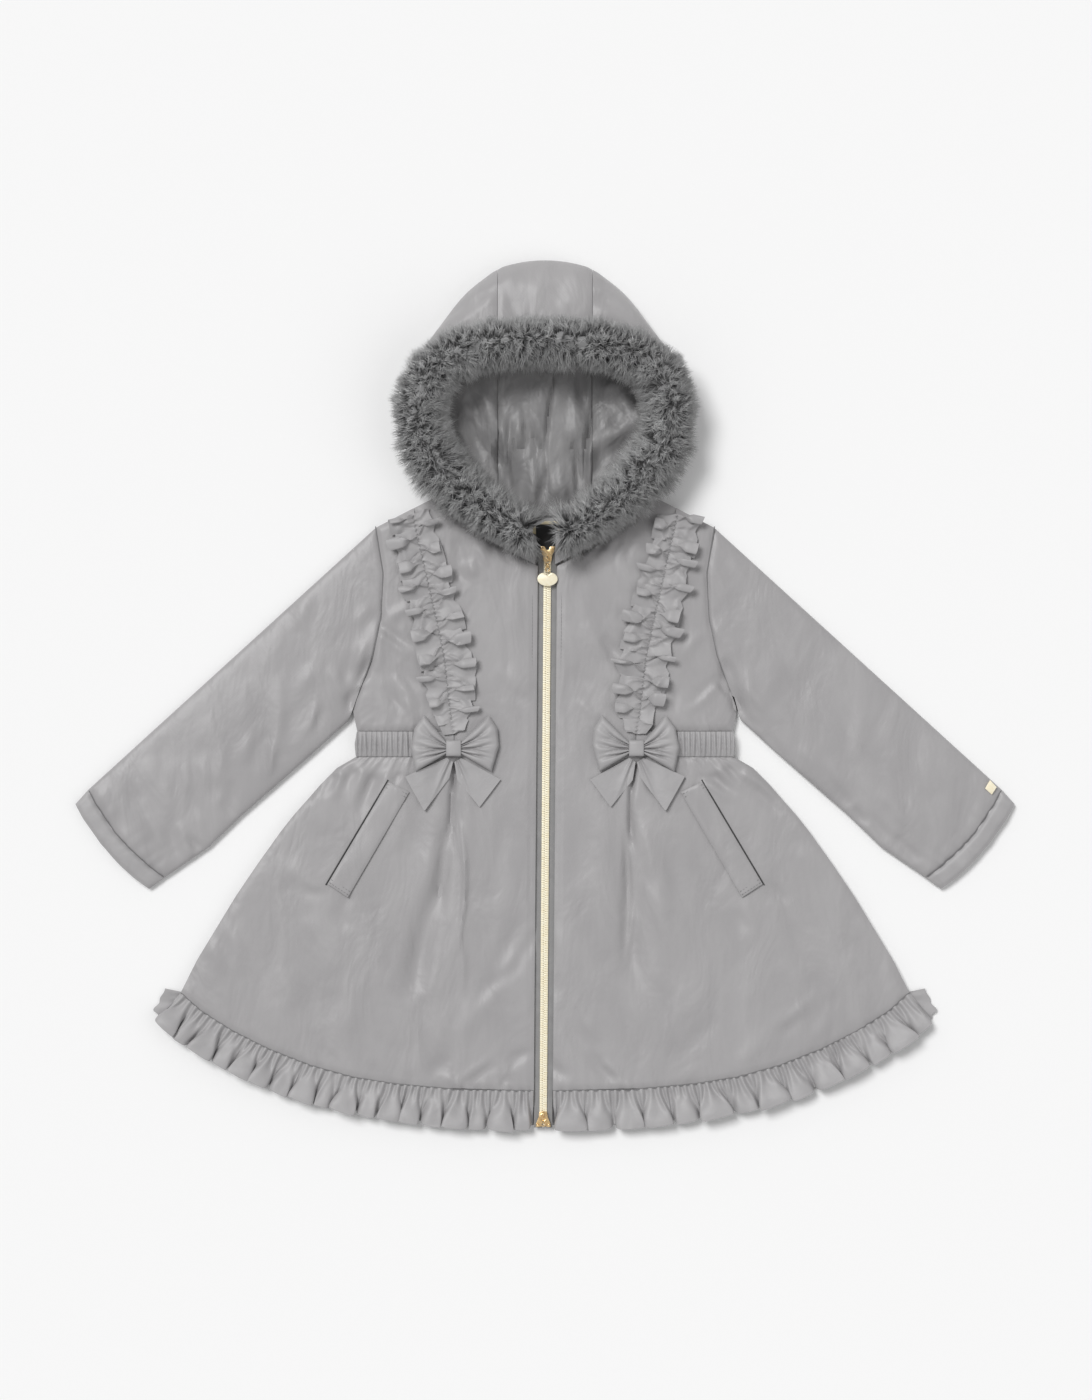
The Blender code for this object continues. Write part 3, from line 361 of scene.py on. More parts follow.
LEAN = table("y x", (-380, -1.7), (125, 2.2), (150, 1.5), (175, 0), (400, 0))
DOME = table("y half", (-380, 340), (-343, 330), (-258, 320), (-202, 288), (-146, 252), (-90, 209),
             (-53, 168), (-30, 166), (-3, 182), (60, 186), (146, 170), (175, 150), (400, 150))
NECKLINE = table("x y", (8.3, 113), (23, 120), (49, 133), (77, 153), (97, 172), (114, 163.4))
BACK_TOP = table("x y", (0, 155), (41, 156.2), (60, 160), (80, 166.5), (97, 172), (147, 146.6))
PRINCESS = table("y x", (163.4, 114), (120, 106), (57, 92.5), (9, 85), (-30.5, 79))
SIDE = table("y x", (146.6, 147), (107, 140.5), (67, 142.6), (35, 149.5), (15, 157), (-3, 166),
             (-14, 167), (-30.5, 163.5))
BAND_SIDE = table("y x", (-30.8, 163.5), (-42, 165.5), (-52.7, 164.5))
PLEAT = table("y x depth half", (-53, 79, 3.4, 5), (-75, 77.5, 3.4, 6), (-130, 77.5, 2.6, 9),
              (-180, 78, 1.5, 12), (-235, 80, 0, 14), (-343, 86, 0, 14))
SKIRT_SIDE = table("x y", (164.5, -53), (181, -62.6), (195, -76.6), (207, -90.5), (219, -104),
                   (230, -118), (250, -146), (269, -174), (286, -202), (303, -230), (317, -258))
HEM = table("x y", (8.3, -343), (75, -342), (130, -337), (168, -331), (204, -321), (240, -307),
            (272, -291), (299, -274), (317, -258))
RUFFLE_EDGE = table("x y", (8.3, -376), (30, -378), (66, -376.5), (108, -373), (150, -366.5),
                    (188, -359), (225, -348.5), (262, -333), (291, -317.5), (320, -300), (338, -283))
BACK_RUFFLE_EDGE = table("x y", (0, -374), (60, -374), (108, -370), (150, -364), (188, -356.5),
                         (225, -346), (262, -330), (291, -315), (322, -297), (341, -275), (331, -255))
SLEEVE_TOP = table("x y", (147, 146.6), (397.5, -81.3))
SLEEVE_UNDER = table("x y", (166, -3), (170.5, -21), (201, -49), (233, -77), (264, -104), (293, -132),
                     (331, -158))
CUFF_SEAM = table("x y", (397.5, -81.3), (390.5, -94), (374, -118.5), (360, -133.5), (343, -149),
                  (331, -158))
CUFF_EDGE = table("x y", (409, -94), (402.5, -106), (387, -128), (372.2, -145), (358.3, -158),
                  (344.7, -168))
STRIP = table("y x outer inner", (158, 115.5, 22.5, 18.5), (122, 107, 25, 20.5), (88, 99.5, 24.5, 24),
              (57, 92.5, 24, 25), (32, 87.5, 24, 26), (9, 85, 21.5, 27), (-16, 82, 18, 24),
              (-33, 80, 11, 12))
WELT_OUTER = table("x y", (136.3, -74.7), (189, -163.4))
WELT_INNER = table("x y", (118, -83.5), (171.3, -175))
LOOP_ENDS = table("across outer_x outer_y inner_x inner_y", (1, -25.5, 29, 30, 28.8),
                  (0.5, -34, 17, 37.5, 17), (0, -37.3, 0, 38.9, 2), (-1, -33, -20.5, 32.5, -20.5))
TAILS = {
    "outer": table("x y", (-6.4, -8.4), (-42.2, -24.7), (-25.4, -54.7), (-3.8, -26), (-0.6, -12)),
    "inner": table("x y", (6.4, -8.4), (40.4, -27.3), (22.4, -51.2), (3.1, -27.8), (0.6, -12)),
}
HOOD_SIDE = table("x y z outline_x outline_y rim_x rim_y rim_z",
                  (8.6, 114.4, 10.8, 8.8, 127, 9.5, 141, 16), (30, 125.5, 10.6, 30, 136, 30, 149, 16.5),
                  (52, 137.6, 10.3, 52, 148, 52, 162, 17), (76.5, 155.2, 10, 77, 165, 75, 179, 18),
                  (97.5, 174.5, 9.6, 97.5, 182, 91.5, 198, 19.5), (80, 168.8, 0, 106, 190, 98, 208, 20.5),
                  (60, 161.8, 0, 114, 207, 104.5, 221, 21.5), (41.2, 157.4, 0, 121, 232, 109.5, 240, 22.5),
                  (41.2, 190, 0, 123, 257, 107.5, 262, 24), (41.2, 225, 0, 119, 278, 99.5, 278, 26),
                  (41.2, 258, 0, 106.5, 300, 87, 289, 28.5), (41.2, 288, 0, 91, 321.5, 72, 297, 31),
                  (41.2, 313, 0, 69, 349, 56, 301, 32.5), (41.2, 332, 0, 41.2, 371, 41.2, 303.6, 33.5))
FUR = table("x y half", (12.5, 141.5, 13.5), (21, 143.5, 15.5), (38, 153, 17), (67, 173, 19.5), (87, 193, 22.5),
            (101, 212, 24), (109, 233, 24.5), (109, 255, 24.5), (103, 273, 24.3), (90, 287, 23.5),
            (72, 297, 22.7), (41, 303.6, 22.3), (0, 304.5, 22.5))
print("tables ready")

# %% [markdown]
# ## The creases
# Each row is one soft crease of the coat as it lies: where it starts, where it ends, how wide it is
# and how far it rises, all in millimetres. A crease that sinks has a negative rise. The last number
# is 1 for a crease that is strongest at its start, as at a seam, and 0 for one that fades out at
# both ends. The first table is for the body and the sleeves, the second for the hood's shell and
# the third for the hood's lining.

# %% Crease tables
CREASES = (
    (-48.4, 133.7, -40.4, 115.7, 2.5, -2, 1), (-40.4, 129.7, -24.4, 109.8, 3, -2.6, 1),
    (-30.4, 133.7, -14.4, 113.7, 3, -2.2, 1), (-20.4, 127.7, -10.4, 117.7, 2, -1.6, 1),
    (-68.4, 117.7, -60.4, 103.8, 5, 2.4, 0), (-58.4, 129.7, -52.4, 113.7, 3, 1.8, 0),
    (-34.4, 133.7, -22.4, 117.7, 3, 2, 1), (-76.3, 131.7, -66.4, 107.8, 5, -2.8, 1),
    (49.5, 131.7, 33.5, 115.7, 3, -2.4, 1), (39.5, 129.7, 23.5, 116.7, 2.5, -2.2, 1),
    (63.5, 129.7, 57.5, 111.7, 4, -1.8, 1), (73.5, 131.7, 69.5, 111.7, 4, -1.6, 1),
    (56.5, 131.7, 47.5, 113.7, 4, 1.8, 1), (44.5, 131.7, 30.5, 117.7, 2.5, 1.8, 1),
    (-81.3, 123.7, -70.4, 97.8, 6, -2.6, 0), (-140.3, 58.8, -112.3, 41.8, 4.5, -3.2, 1),
    (-136.3, 66.8, -114.3, 77.8, 5, 1.8, 0), (-143.3, 49.8, -146.3, 21.9, 5, 2, 0),
    (-140.3, 51.8, -118.3, 31.8, 4, 2, 1), (-126.3, 27.9, -112.3, 3.9, 5, -1.4, 0),
    (-132.3, 17.9, -114.3, -10.1, 5, 1.8, 0), (-140.3, 7.9, -122.3, -12.1, 4, -1.8, 0),
    (-122.3, -2.1, -114.3, -20.1, 3, 1.8, 0), (153.4, 15.9, 125.4, -12.1, 5, -1.8, 1),
    (147.4, 7.9, 119.4, -16.1, 4, 2, 1), (119.4, 31.8, 137.4, 55.8, 5, 1.4, 0),
    (115.4, 7.9, 113.4, -16.1, 3, -1.6, 0), (49.5, 51.8, 64.5, 32.8, 6, -2.6, 0),
    (37.5, 63.8, 47.5, 31.8, 8, 1.2, 0), (27.5, -4.1, 41.5, -18.1, 4, 1.4, 0),
    (-34.4, 5.9, -14.4, -6.1, 5, -1, 0), (-44.4, 23.9, -12.4, 3.9, 7, 1, 0),
    (21.5, 23.9, 39.5, 7.9, 6, -1, 0), (-28.4, 95.8, -32.4, 51.8, 9, 1, 0),
    (27.5, 99.8, 35.5, 51.8, 9, 1, 0), (-184.4, -71.2, -193.5, -89.4, 4, -3, 1),
    (-166.2, -66.7, -177.6, -84.9, 4, -2.8, 1), (-150.3, -73.5, -161.6, -107.6, 6, -3.6, 1),
    (-159.4, -66.7, -168.5, -98.5, 5, 2.6, 1), (-137.8, -71.2, -150.3, -96.2, 5, 2.6, 1),
    (-177.6, -68.9, -186.7, -91.7, 4, 2.2, 1), (-198, -78, -207.1, -96.2, 4, -2, 1),
    (-127.5, -68.9, -130.9, -78, 2.5, -2, 1), (-86.6, -155.4, -113.9, -253.2, 11, -3.4, 0),
    (-91.1, -221.4, -103.6, -264.6, 3, 1.8, 0), (-75.2, -207.7, -71.8, -257.8, 3, 1.6, 0),
    (-92.3, -162.2, -88.8, -179.3, 2, -1.6, 0), (-102.5, -260, -120.7, -314.6, 9, -1.2, 0),
    (-88.8, -269.1, -97.9, -319.2, 6, 1, 0), (-72.9, -260, -63.8, -301, 8, 1.2, 0),
    (-13.8, -191.8, -43.3, -239.6, 9, -2, 0), (-9.2, -210, -27.4, -246.4, 6, -2.2, 1),
    (-20.6, -230.5, -61.5, -266.9, 7, -1.8, 0), (-25.1, -223.6, -41.1, -244.1, 5, 1.6, 0),
    (-38.8, -246.4, -75.2, -294.2, 8, 1.4, 0), (-11.5, -307.8, -32, -321.5, 5, -2.2, 0),
    (-41.1, -319.2, -71.8, -340.8, 4, -2.4, 0), (-47.9, -316.9, -72.9, -332.8, 4, 1.8, 0),
    (-82, -312.4, -104.8, -335.1, 5, -1.4, 0), (-29.7, -330.6, -38.8, -340.8, 3, -2, 0),
    (-88.8, -328.3, -72.9, -340.8, 3, 2, 0), (-150.3, -319.2, -138.9, -335.1, 3, -1.8, 0),
    (-118.4, -326, -112.7, -338.5, 3, -1.8, 0), (-113.9, -276, -127.5, -305.5, 9, 1.2, 0),
    (-234.4, -148.6, -195.8, -162.2, 9, 1.6, 0), (-220.8, -164.5, -188.9, -171.3, 6, -1.4, 0),
    (-184.4, -185, -168.5, -203.2, 6, -1.6, 0), (-209.4, -191.8, -198, -210, 7, 1, 0),
    (-275.4, -198.6, -265.2, -239.6, 6, 1.8, 0), (-290.2, -214.5, -281.1, -241.8, 5, 1.6, 0),
    (-297, -223.6, -306.1, -260, 5, -1.4, 0), (-227.6, -237.3, -219.7, -271.4, 7, 1.4, 0),
    (-175.3, -191.8, -184.4, -239.6, 8, 1, 0), (-171.9, -175.9, -176.4, -194.1, 4, -1.6, 1),
    (-191.2, -166.8, -209.4, -162.2, 4, 1.2, 0), (-248.1, -223.6, -236.7, -269.1, 9, -1, 0),
    (-207.1, -250.9, -198, -287.3, 8, -1, 0), (-184.4, -269.1, -177.6, -305.5, 8, 1, 0),
    (-161.6, -246.4, -168.5, -291.9, 9, 1, 0), (-143.4, -210, -157.1, -260, 10, 1, 0),
    (-123, -91.7, -129.8, -132.6, 8, 1.2, 0), (-113.9, -109.9, -125.2, -173.6, 9, -1.2, 0),
    (-57, -91.7, -50.2, -159.9, 9, 1, 0), (-36.5, -105.3, -41.1, -173.6, 9, -1, 0),
    (147.1, -70.9, 168.7, -86, 4, -3, 1), (160.1, -64.4, 188.2, -90.3, 4, -2.6, 1),
    (153.6, -64.4, 179.6, -88.2, 4, 2.4, 1), (181.7, -77.4, 205.5, -103.3, 5, -2, 0),
    (175.2, -68.7, 196.9, -88.2, 4, 2, 1), (134.1, -68.7, 147.1, -74.1, 3, -1.6, 0),
    (136.3, -73, 160.1, -90.3, 4, 1.8, 0), (90.9, -77.4, 99.5, -90.3, 4, -2.4, 1),
    (76.8, -155.3, 71.4, -250.5, 11, -3.4, 0), (82.2, -107.7, 91.9, -157.4, 5, 2, 0),
    (84.4, -157.4, 100.6, -207.2, 6, 1.4, 0), (60.6, -168.2, 62.7, -228.8, 5, 1.2, 0),
    (62.7, -252.6, 87.6, -315.4, 9, -1.6, 0), (88.7, -185.5, 112.5, -244, 10, -1.2, 0),
    (47.6, -94.7, 49.7, -155.3, 9, 1, 0), (32.4, -107.7, 30.3, -176.9, 10, -1, 0),
    (8.6, -246.1, 36.8, -282.9, 8, -2, 0), (13, -269.9, 41.1, -311, 8, -2.2, 0),
    (17.3, -259.1, 45.4, -298.1, 6, 1.6, 0), (7.6, -322.9, 25.9, -331.6, 5, -2.4, 1),
    (38.9, -311, 62.7, -335.9, 5, -2.4, 0), (50.8, -317.5, 69.2, -334.8, 4, 1.8, 0),
    (56.2, -335.9, 80, -340.3, 4, 1.8, 0), (8.6, -202.9, 28.1, -237.5, 9, 1, 0),
    (235.8, -256.9, 203.4, -287.2, 5, 1.8, 0), (225, -276.4, 201.2, -300.2, 5, -1.4, 0),
    (192.5, -289.4, 166.6, -321.9, 6, 1.6, 0), (251, -269.9, 229.3, -304.5, 6, 1.4, 0),
    (298.6, -233.1, 308.3, -261.3, 5, 1.8, 0), (285.6, -213.7, 298.6, -252.6, 6, -1.2, 0),
    (257.5, -226.7, 246.6, -261.3, 7, 1.2, 0), (274.8, -282.9, 261.8, -298.1, 4, -1.4, 0),
    (173.1, -174.7, 179.6, -218, 5, 1.6, 0), (164.4, -185.5, 177.4, -205, 6, -1.6, 0),
    (191.5, -163.9, 212, -179.1, 5, -1.6, 0), (214.2, -129.3, 240.1, -157.4, 8, 1, 0),
    (119, -254.8, 99.5, -304.5, 8, 1.2, 0), (149.3, -280.7, 116.8, -317.5, 7, -1.2, 0),
    (134.1, -319.7, 116.8, -334.8, 5, 1.2, 0), (116.8, -103.3, 125.5, -155.3, 9, 1, 0),
    (190.4, -215.8, 181.7, -265.6, 9, 1, 0), (220.7, -198.5, 225, -241.8, 9, -1, 0),
    (201.2, -107.7, 225, -135.8, 8, -1.2, 0), (99.5, -118.5, 116.8, -163.9, 8, -1, 0),
    (-143.6, 55.8, -175.5, 21.9, 8, 2.4, 1), (-151.6, 77.8, -166.6, 61.8, 6, 1.8, 0),
    (-165.6, 37.8, -175.5, 5.9, 6, -2.4, 0), (-155.6, 47.8, -167.6, 23.9, 4, 2, 0),
    (-145.6, 69.8, -163.6, 57.8, 5, -1.6, 1), (-151.6, 31.8, -163.6, 3.9, 4, -5, 0),
    (-163.6, 7.9, -172.5, -14.1, 5, -5, 0), (-155.6, 15.9, -167.6, 3.9, 3, 2.8, 0),
    (-185.5, 23.9, -177.5, -2.1, 6, 1.8, 0), (-197.5, -2.1, -208.5, -34.1, 3.5, 2.2, 0),
    (-230.5, 15.9, -239.5, -66, 5, 1.8, 0), (-203.5, 25.9, -211.5, 3.9, 6, 1.8, 0),
    (-193.5, -10.1, -199.5, -34.1, 4, -1.6, 0), (-213.5, -4.1, -221.5, -44.1, 7, -1.2, 0),
    (-237.5, -38.1, -239.5, -68, 3, 2.2, 0), (-257.4, -34.1, -261.4, -58, 6, 1.4, 0),
    (-245.5, -32.1, -253.4, -66, 6, -1.4, 0), (-280.4, -36.1, -285.4, -76, 5, 1.6, 0),
    (-301.4, -54, -292.4, -82, 5, 1.6, 0), (-317.4, -54, -308.4, -94, 6, 1.4, 0),
    (-333.3, -70, -324.4, -106, 6, 1.4, 0), (-291.4, -68, -283.4, -90, 4, -1.6, 0),
    (-309.4, -80, -301.4, -106, 5, -1.6, 0), (-353.3, -90, -346.3, -126, 6, 1.4, 0),
    (-343.3, -104, -333.3, -131.9, 5, 1.6, 0), (-327.4, -108, -317.4, -143.9, 5, -2.4, 0),
    (-318.4, -110, -308.4, -141.9, 4, 2, 0), (-312.4, -122, -297.4, -133.9, 4, -2.6, 0),
    (-367.3, -56, -363.3, -86, 8, 1, 0), (-273.4, -74, -269.4, -98, 5, -1.8, 0),
    (-281.4, -90, -269.4, -104, 4, -2, 0), (-261.4, 15.9, -267.4, -24.1, 9, 1, 0),
    (-207.5, 89.8, -216.5, 57.8, 6, 1.6, 0), (-233.5, 59.8, -241.5, 23.9, 9, 1, 0),
    (-373.3, -90, -361.3, -122, 6, -1.2, 0), (-387.3, -80, -373.3, -110, 6, 1.2, 0),
    (-293.4, -16.1, -297.4, -44.1, 9, 1, 0), (-329.4, -36.1, -327.4, -64, 9, -1, 0),
    (-343.3, -54, -339.3, -76, 8, 1, 0), (-177.5, 99.8, -183.5, 51.8, 10, 1, 0),
    (157.1, 29.9, 165.1, 1.9, 5, -5, 0), (165.1, 5.9, 168.1, -14.1, 5, -5, 0),
    (151.1, 13.9, 163.1, -2.1, 3, -3.6, 0), (156.1, 23.9, 161.1, 7.9, 3, 3.2, 0),
    (169.1, -10.1, 188.1, -32.1, 6, -3.2, 1), (176.1, 23.9, 173.1, -8.1, 6, 1.8, 0),
    (174.1, 7.9, 192.1, -16.1, 5, 2, 0), (216, 83.8, 232, 55.8, 7, 1.8, 0),
    (150.1, 55.8, 172.1, 23.9, 7, 1.6, 1), (199.1, 33.8, 192.1, -2.1, 8, 1.4, 0),
    (238, -4.1, 254, -46.1, 8, 1.2, 0), (275, -14.1, 266, -56, 8, 1.4, 0),
    (297.9, -26.1, 306.9, -66, 8, 1.2, 0), (192.1, -30.1, 210, -56, 5, -1.8, 0),
    (222, -44.1, 238, -66, 6, 1.4, 0), (246, -56, 262, -90, 6, 1.6, 0), (269, -96, 280, -112, 5, -2.6, 0),
    (282, -102, 306.9, -130, 5, -2.2, 0), (289.9, -82, 315.9, -116, 6, 1.8, 0),
    (305.9, -122, 325.9, -143.9, 5, -2.6, 0), (313.9, -88, 327.9, -126, 6, 1.8, 0),
    (325.9, -54, 339.9, -86, 8, 1.2, 0), (254, -76, 266, -96, 5, -1.6, 0),
    (341.9, -86, 357.9, -116, 7, 1.2, 0), (355.9, -44.1, 371.8, -74, 8, -1, 0),
    (182.1, 99.8, 192.1, 59.8, 9, 1.2, 0), (164.1, 119.7, 174.1, 91.8, 7, 1.4, 0),
    (222, 23.9, 226, -8.1, 9, -1, 0), (250, 35.8, 256, 7.9, 9, 1, 0),
    (295.9, 11.9, 305.9, -12.1, 9, -1, 0), (345.9, -34.1, 357.9, -56, 9, 1, 0),
    (361.9, -90, 373.8, -112, 6, -1.2, 0),
)
HOOD_CREASES = (
    (-42.6, 356, -71.7, 336.6, 3.5, 1.8, 1), (-46.5, 344.3, -62, 327.8, 4, 1.8, 1),
    (-46.5, 350.2, -69.8, 331.7, 3, -1.8, 1), (-54.2, 355, -75.6, 342.4, 4, 1.4, 0),
    (-65.9, 341.4, -85.3, 327.8, 4, -1.6, 0), (-60.1, 333.6, -77.5, 320.1, 4, 1.6, 0),
    (-79.5, 331.7, -93.1, 314.2, 5, 1.4, 0), (-69.8, 357, -85.3, 337.5, 6, -1, 0),
    (44.8, 360.8, 64.2, 351.1, 3.5, 1.8, 1), (45.8, 351.1, 72, 338.5, 3.5, 2, 1),
    (47.7, 344.3, 79.8, 329.8, 4, -1.8, 1), (62.3, 341.4, 91.4, 321, 4, 1.8, 0),
    (60.3, 356, 77.8, 337.5, 5, 1.4, 0), (50.6, 333.6, 72, 322, 4, 1.8, 1),
    (73.9, 341.4, 87.5, 329.8, 4, -1.6, 0), (83.6, 325.9, 95.3, 314.2, 5, 1.4, 0),
    (-21.2, 358.9, -1.8, 343.4, 8, 1.2, 0), (4, 349.2, 19.6, 353.1, 7, -1, 0),
    (11.8, 339.5, 31.2, 343.4, 6, 1.2, 0), (-34.8, 341.4, -19.3, 333.6, 6, -1, 0),
    (21.5, 370.5, 31.2, 357, 6, 1, 0), (-29, 370.5, -32.9, 353.1, 6, 1, 0),
)
LINING_CREASES = (
    (-30, 240.4, -28.6, 174.4, 2.2, -4.4, 0), (43.8, 254, 35.5, 175.4, 2.6, -5, 0),
    (6.9, 271.5, 6, 156.9, 1.5, -2.7, 1), (-80.4, 242.4, -26.1, 241, 1.8, -3.1, 1),
    (25, 226.5, 43.8, 226.8, 2, -3.1, 0), (30.2, 281.2, 37, 246.3, 5, -5, 0),
    (39, 263.7, 62.3, 249.8, 5, -5, 0), (47.7, 263.7, 73.9, 271.5, 5, 4.1, 0),
    (54.5, 215.2, 86.6, 212.3, 7, -5, 0), (53.5, 223, 73.9, 232.7, 6, 4.4, 0),
    (58.4, 201.6, 87.5, 212.3, 4, 3.4, 0), (62.3, 248.2, 67.1, 234.6, 3, -2.7, 0),
    (71, 273.5, 87.5, 246.3, 5, -5, 0), (-50.3, 263.7, -45.5, 211.3, 5, 3.7, 0),
    (-66.8, 238.5, -50.3, 203.5, 5, -3.4, 0), (-73.6, 232.7, -58.1, 207.4, 5, 3.4, 0),
    (-43.5, 228.8, -29, 175.4, 4, -5, 0), (-37.7, 232.7, -30.9, 193.8, 4, 3.4, 0),
    (-19.3, 239.5, -2.8, 212.3, 3.5, -4.4, 0), (-15.4, 244.3, 2.1, 217.1, 4, 3.1, 0),
    (-28, 216.2, -14.4, 214.8, 3, -4.1, 0), (-27, 223, -15.4, 221, 3, 3.4, 0),
    (16.7, 219.1, 30.2, 212.3, 3, -4.1, 0), (19.6, 223.9, 33.2, 217.1, 3, 3.1, 0),
    (-9.6, 223, 1.1, 210.3, 3, -3.4, 0), (6, 196.7, -7.6, 157.9, 4, -3.1, 0),
    (8.9, 193.8, 18.6, 161.8, 4, 3.1, 0), (-16.4, 199.7, -23.2, 158.9, 5, -2.7, 0),
    (-9.6, 195.8, -13.4, 160.8, 5, 2.7, 0), (21.5, 240.4, 40, 231.7, 4, 3.7, 0),
    (28.3, 215.2, 31.6, 177.3, 3, -4.4, 0), (37, 224.9, 36.1, 182.2, 3.5, 3.4, 0),
    (46.4, 246.3, 53, 218.1, 4, 3.7, 0), (50.2, 219.1, 50.6, 190, 4, -3.7, 0),
    (56.5, 197.7, 46.8, 186.1, 4, 3.4, 0), (-27, 240.4, -19.3, 232.7, 4, 4.1, 0),
    (-3.7, 267.6, -7.6, 240.4, 7, 2.7, 0), (17.6, 271.5, 21.5, 240.4, 6, -2.7, 0),
    (-34.8, 267.6, -38.7, 244.3, 5, -3.4, 0), (-60.1, 263.7, -62, 244.3, 5, -3.1, 0),
    (-65.9, 252.1, -75.6, 243.4, 4, 3.1, 0), (70.1, 256, 83.6, 232.7, 5, 3.1, 0),
    (-56.2, 226.8, -69.8, 213.3, 4, -3.4, 0), (0.1, 176.4, 11.8, 170.5, 4, 2.4, 0),
)
print("creases:", len(CREASES), "on the body,", len(HOOD_CREASES), "on the hood,", len(LINING_CREASES), "in it")

# %% [markdown]
# ## Helpers
# Every cloth piece is a grid of points for its outside and one for its inside, on the same plan as
# its solid. The grids are worked out for all points at once, and then put on a plane that is grown
# into a closed wall.

# %% Helpers for forms


def read(columns, key, at, value):
    """The values in a table at places between its rows."""
    order = np.argsort(columns[key])
    return np.interp(at, columns[key][order], columns[value][order])


def along(path, fraction):
    """The points at fractions of a path's length."""
    steps = np.hypot(np.diff(path["x"]), np.diff(path["y"]))
    run = np.concatenate(([0.0], np.cumsum(steps)))
    at = np.asarray(fraction) * run[-1]
    return np.stack((np.interp(at, run, path["x"]), np.interp(at, run, path["y"])), axis=-1)


def path_length(path):
    return float(np.hypot(np.diff(path["x"]), np.diff(path["y"])).sum())


def mix(first, second, fraction):
    return first + (second - first) * fraction


def ease(value, low, high):
    """A soft step from 0 at low to 1 at high."""
    fraction = np.clip((value - low) / (high - low), 0, 1)
    return fraction * fraction * (3 - 2 * fraction)


def bell(away, width):
    return np.exp(-(away / width) ** 2)


def moved_start(path, x, y):
    return {"x": np.concatenate(([x], path["x"][1:])), "y": np.concatenate(([y], path["y"][1:]))}


def patch(s, t, start, end, low, high):
    """Points in a patch between four curves; start and end run with s, low and high with t."""
    s3, t3 = s[..., None], t[..., None]
    straight = mix(start(s), end(s), t3) + mix(low(t), high(t), s3)
    zero, one = np.zeros_like(s), np.ones_like(s)
    corners = mix(mix(start(zero), start(one), s3), mix(end(zero), end(one), s3), t3)
    return straight - corners


def grid(rows, columns):
    """Two grids of fractions: how far down each row is, and how far across each column is."""
    return np.meshgrid(np.linspace(0, 1, rows + 1), np.linspace(0, 1, columns + 1), indexing="ij")


def placed(x, y, z):
    """Points with the small sideways shift that follows the zip's lean."""
    shift = read(LEAN, "y", y, "x") * np.clip(1 - (np.abs(x) - 9) / 68, 0, 1)
    return np.stack((x + shift, y + 0 * x, z + 0 * x), axis=-1)


def under_front(x, y):
    """The underside of the front layer, a low dome over the back layer."""
    share = np.abs(x) / read(DOME, "y", y, "half")
    return FRONT_UNDER + HOLLOW * np.clip(1 - share * share, 0, None)


def top_front(x, y):
    return under_front(x, y) + WALL


def from_bow(x):
    """Ribs and gathers are flat beneath the bow and full beyond it."""
    return ease(np.abs(x), 96, 108)


def crease_height(x, y, rows):
    """The height that the creases of a table add at each place."""
    total = np.zeros(np.broadcast(x, y).shape)
    for x1, y1, x2, y2, width, rise, start in rows:
        dx, dy = x2 - x1, y2 - y1
        length = math.hypot(dx, dy)
        t = ((x - x1) * dx + (y - y1) * dy) / length ** 2
        away = ((x - x1) * dy - (y - y1) * dx) / length
        away = away + 0.05 * length * np.sin(math.pi * np.clip(t, 0, 1)) * math.copysign(1, rise)
        beyond = np.clip(np.maximum(-t, t - 1), 0, None) * length
        inside = np.sin(math.pi * np.clip(mix(0.5, 1, t) if start else mix(0.06, 0.94, t), 0, 1))
        total += rise * inside * bell(away, width) * bell(beyond, width)
    return total


def edge_roll(points, sides, depth, width):
    """How far the surface rolls down towards the named sides of its grid, where it is sewn."""
    across = np.linalg.norm(np.diff(points, axis=1), axis=2)
    down = np.linalg.norm(np.diff(points, axis=0), axis=2)
    zero_column = np.zeros((points.shape[0], 1))
    zero_row = np.zeros((1, points.shape[1]))
    away = {
        "first": np.concatenate((zero_column, np.cumsum(across, axis=1)), axis=1),
        "last": np.concatenate((np.cumsum(across[:, ::-1], axis=1)[:, ::-1], zero_column), axis=1),
        "top": np.concatenate((zero_row, np.cumsum(down, axis=0)), axis=0),
        "bottom": np.concatenate((np.cumsum(down[::-1], axis=0)[::-1], zero_row), axis=0),
    }
    return depth * np.max([bell(away[side], width) for side in sides], axis=0)


def cloth(name, outside, inside, shade, closed=False, spare=None, sharp=50):
    """A closed wall of cloth between two grids of points, given in millimetres."""
    rows, columns = outside.shape[0] - 1, outside.shape[1] - 1
    shape = bmesh.new()
    bmesh.ops.create_grid(shape, x_segments=columns, y_segments=rows, size=0.5)
    number = shape.verts.layers.int.new("grid_place")
    outer, inner = outside.reshape(-1, 3) * MM, inside.reshape(-1, 3) * MM
    for place, vertex in enumerate(shape.verts):
        vertex[number] = place
        vertex.co = outer[place]
    if spare is not None:
        shape.faces.ensure_lookup_table()
        gone = [shape.faces[place] for place in np.flatnonzero(spare.reshape(-1))]
        bmesh.ops.delete(shape, geom=gone, context="FACES")
    if closed:
        bmesh.ops.remove_doubles(shape, verts=shape.verts, dist=1e-7)
    grown = bmesh.ops.extrude_face_region(shape, geom=shape.faces, use_keep_orig=True)
    for item in grown["geom"]:
        if isinstance(item, bmesh.types.BMVert):
            item.co = inner[item[number]]
    bmesh.ops.recalc_face_normals(shape, faces=shape.faces)
    if shape.calc_volume(signed=True) < 0:
        bmesh.ops.reverse_faces(shape, faces=shape.faces)
    return shown(name, shape, shade, sharp)


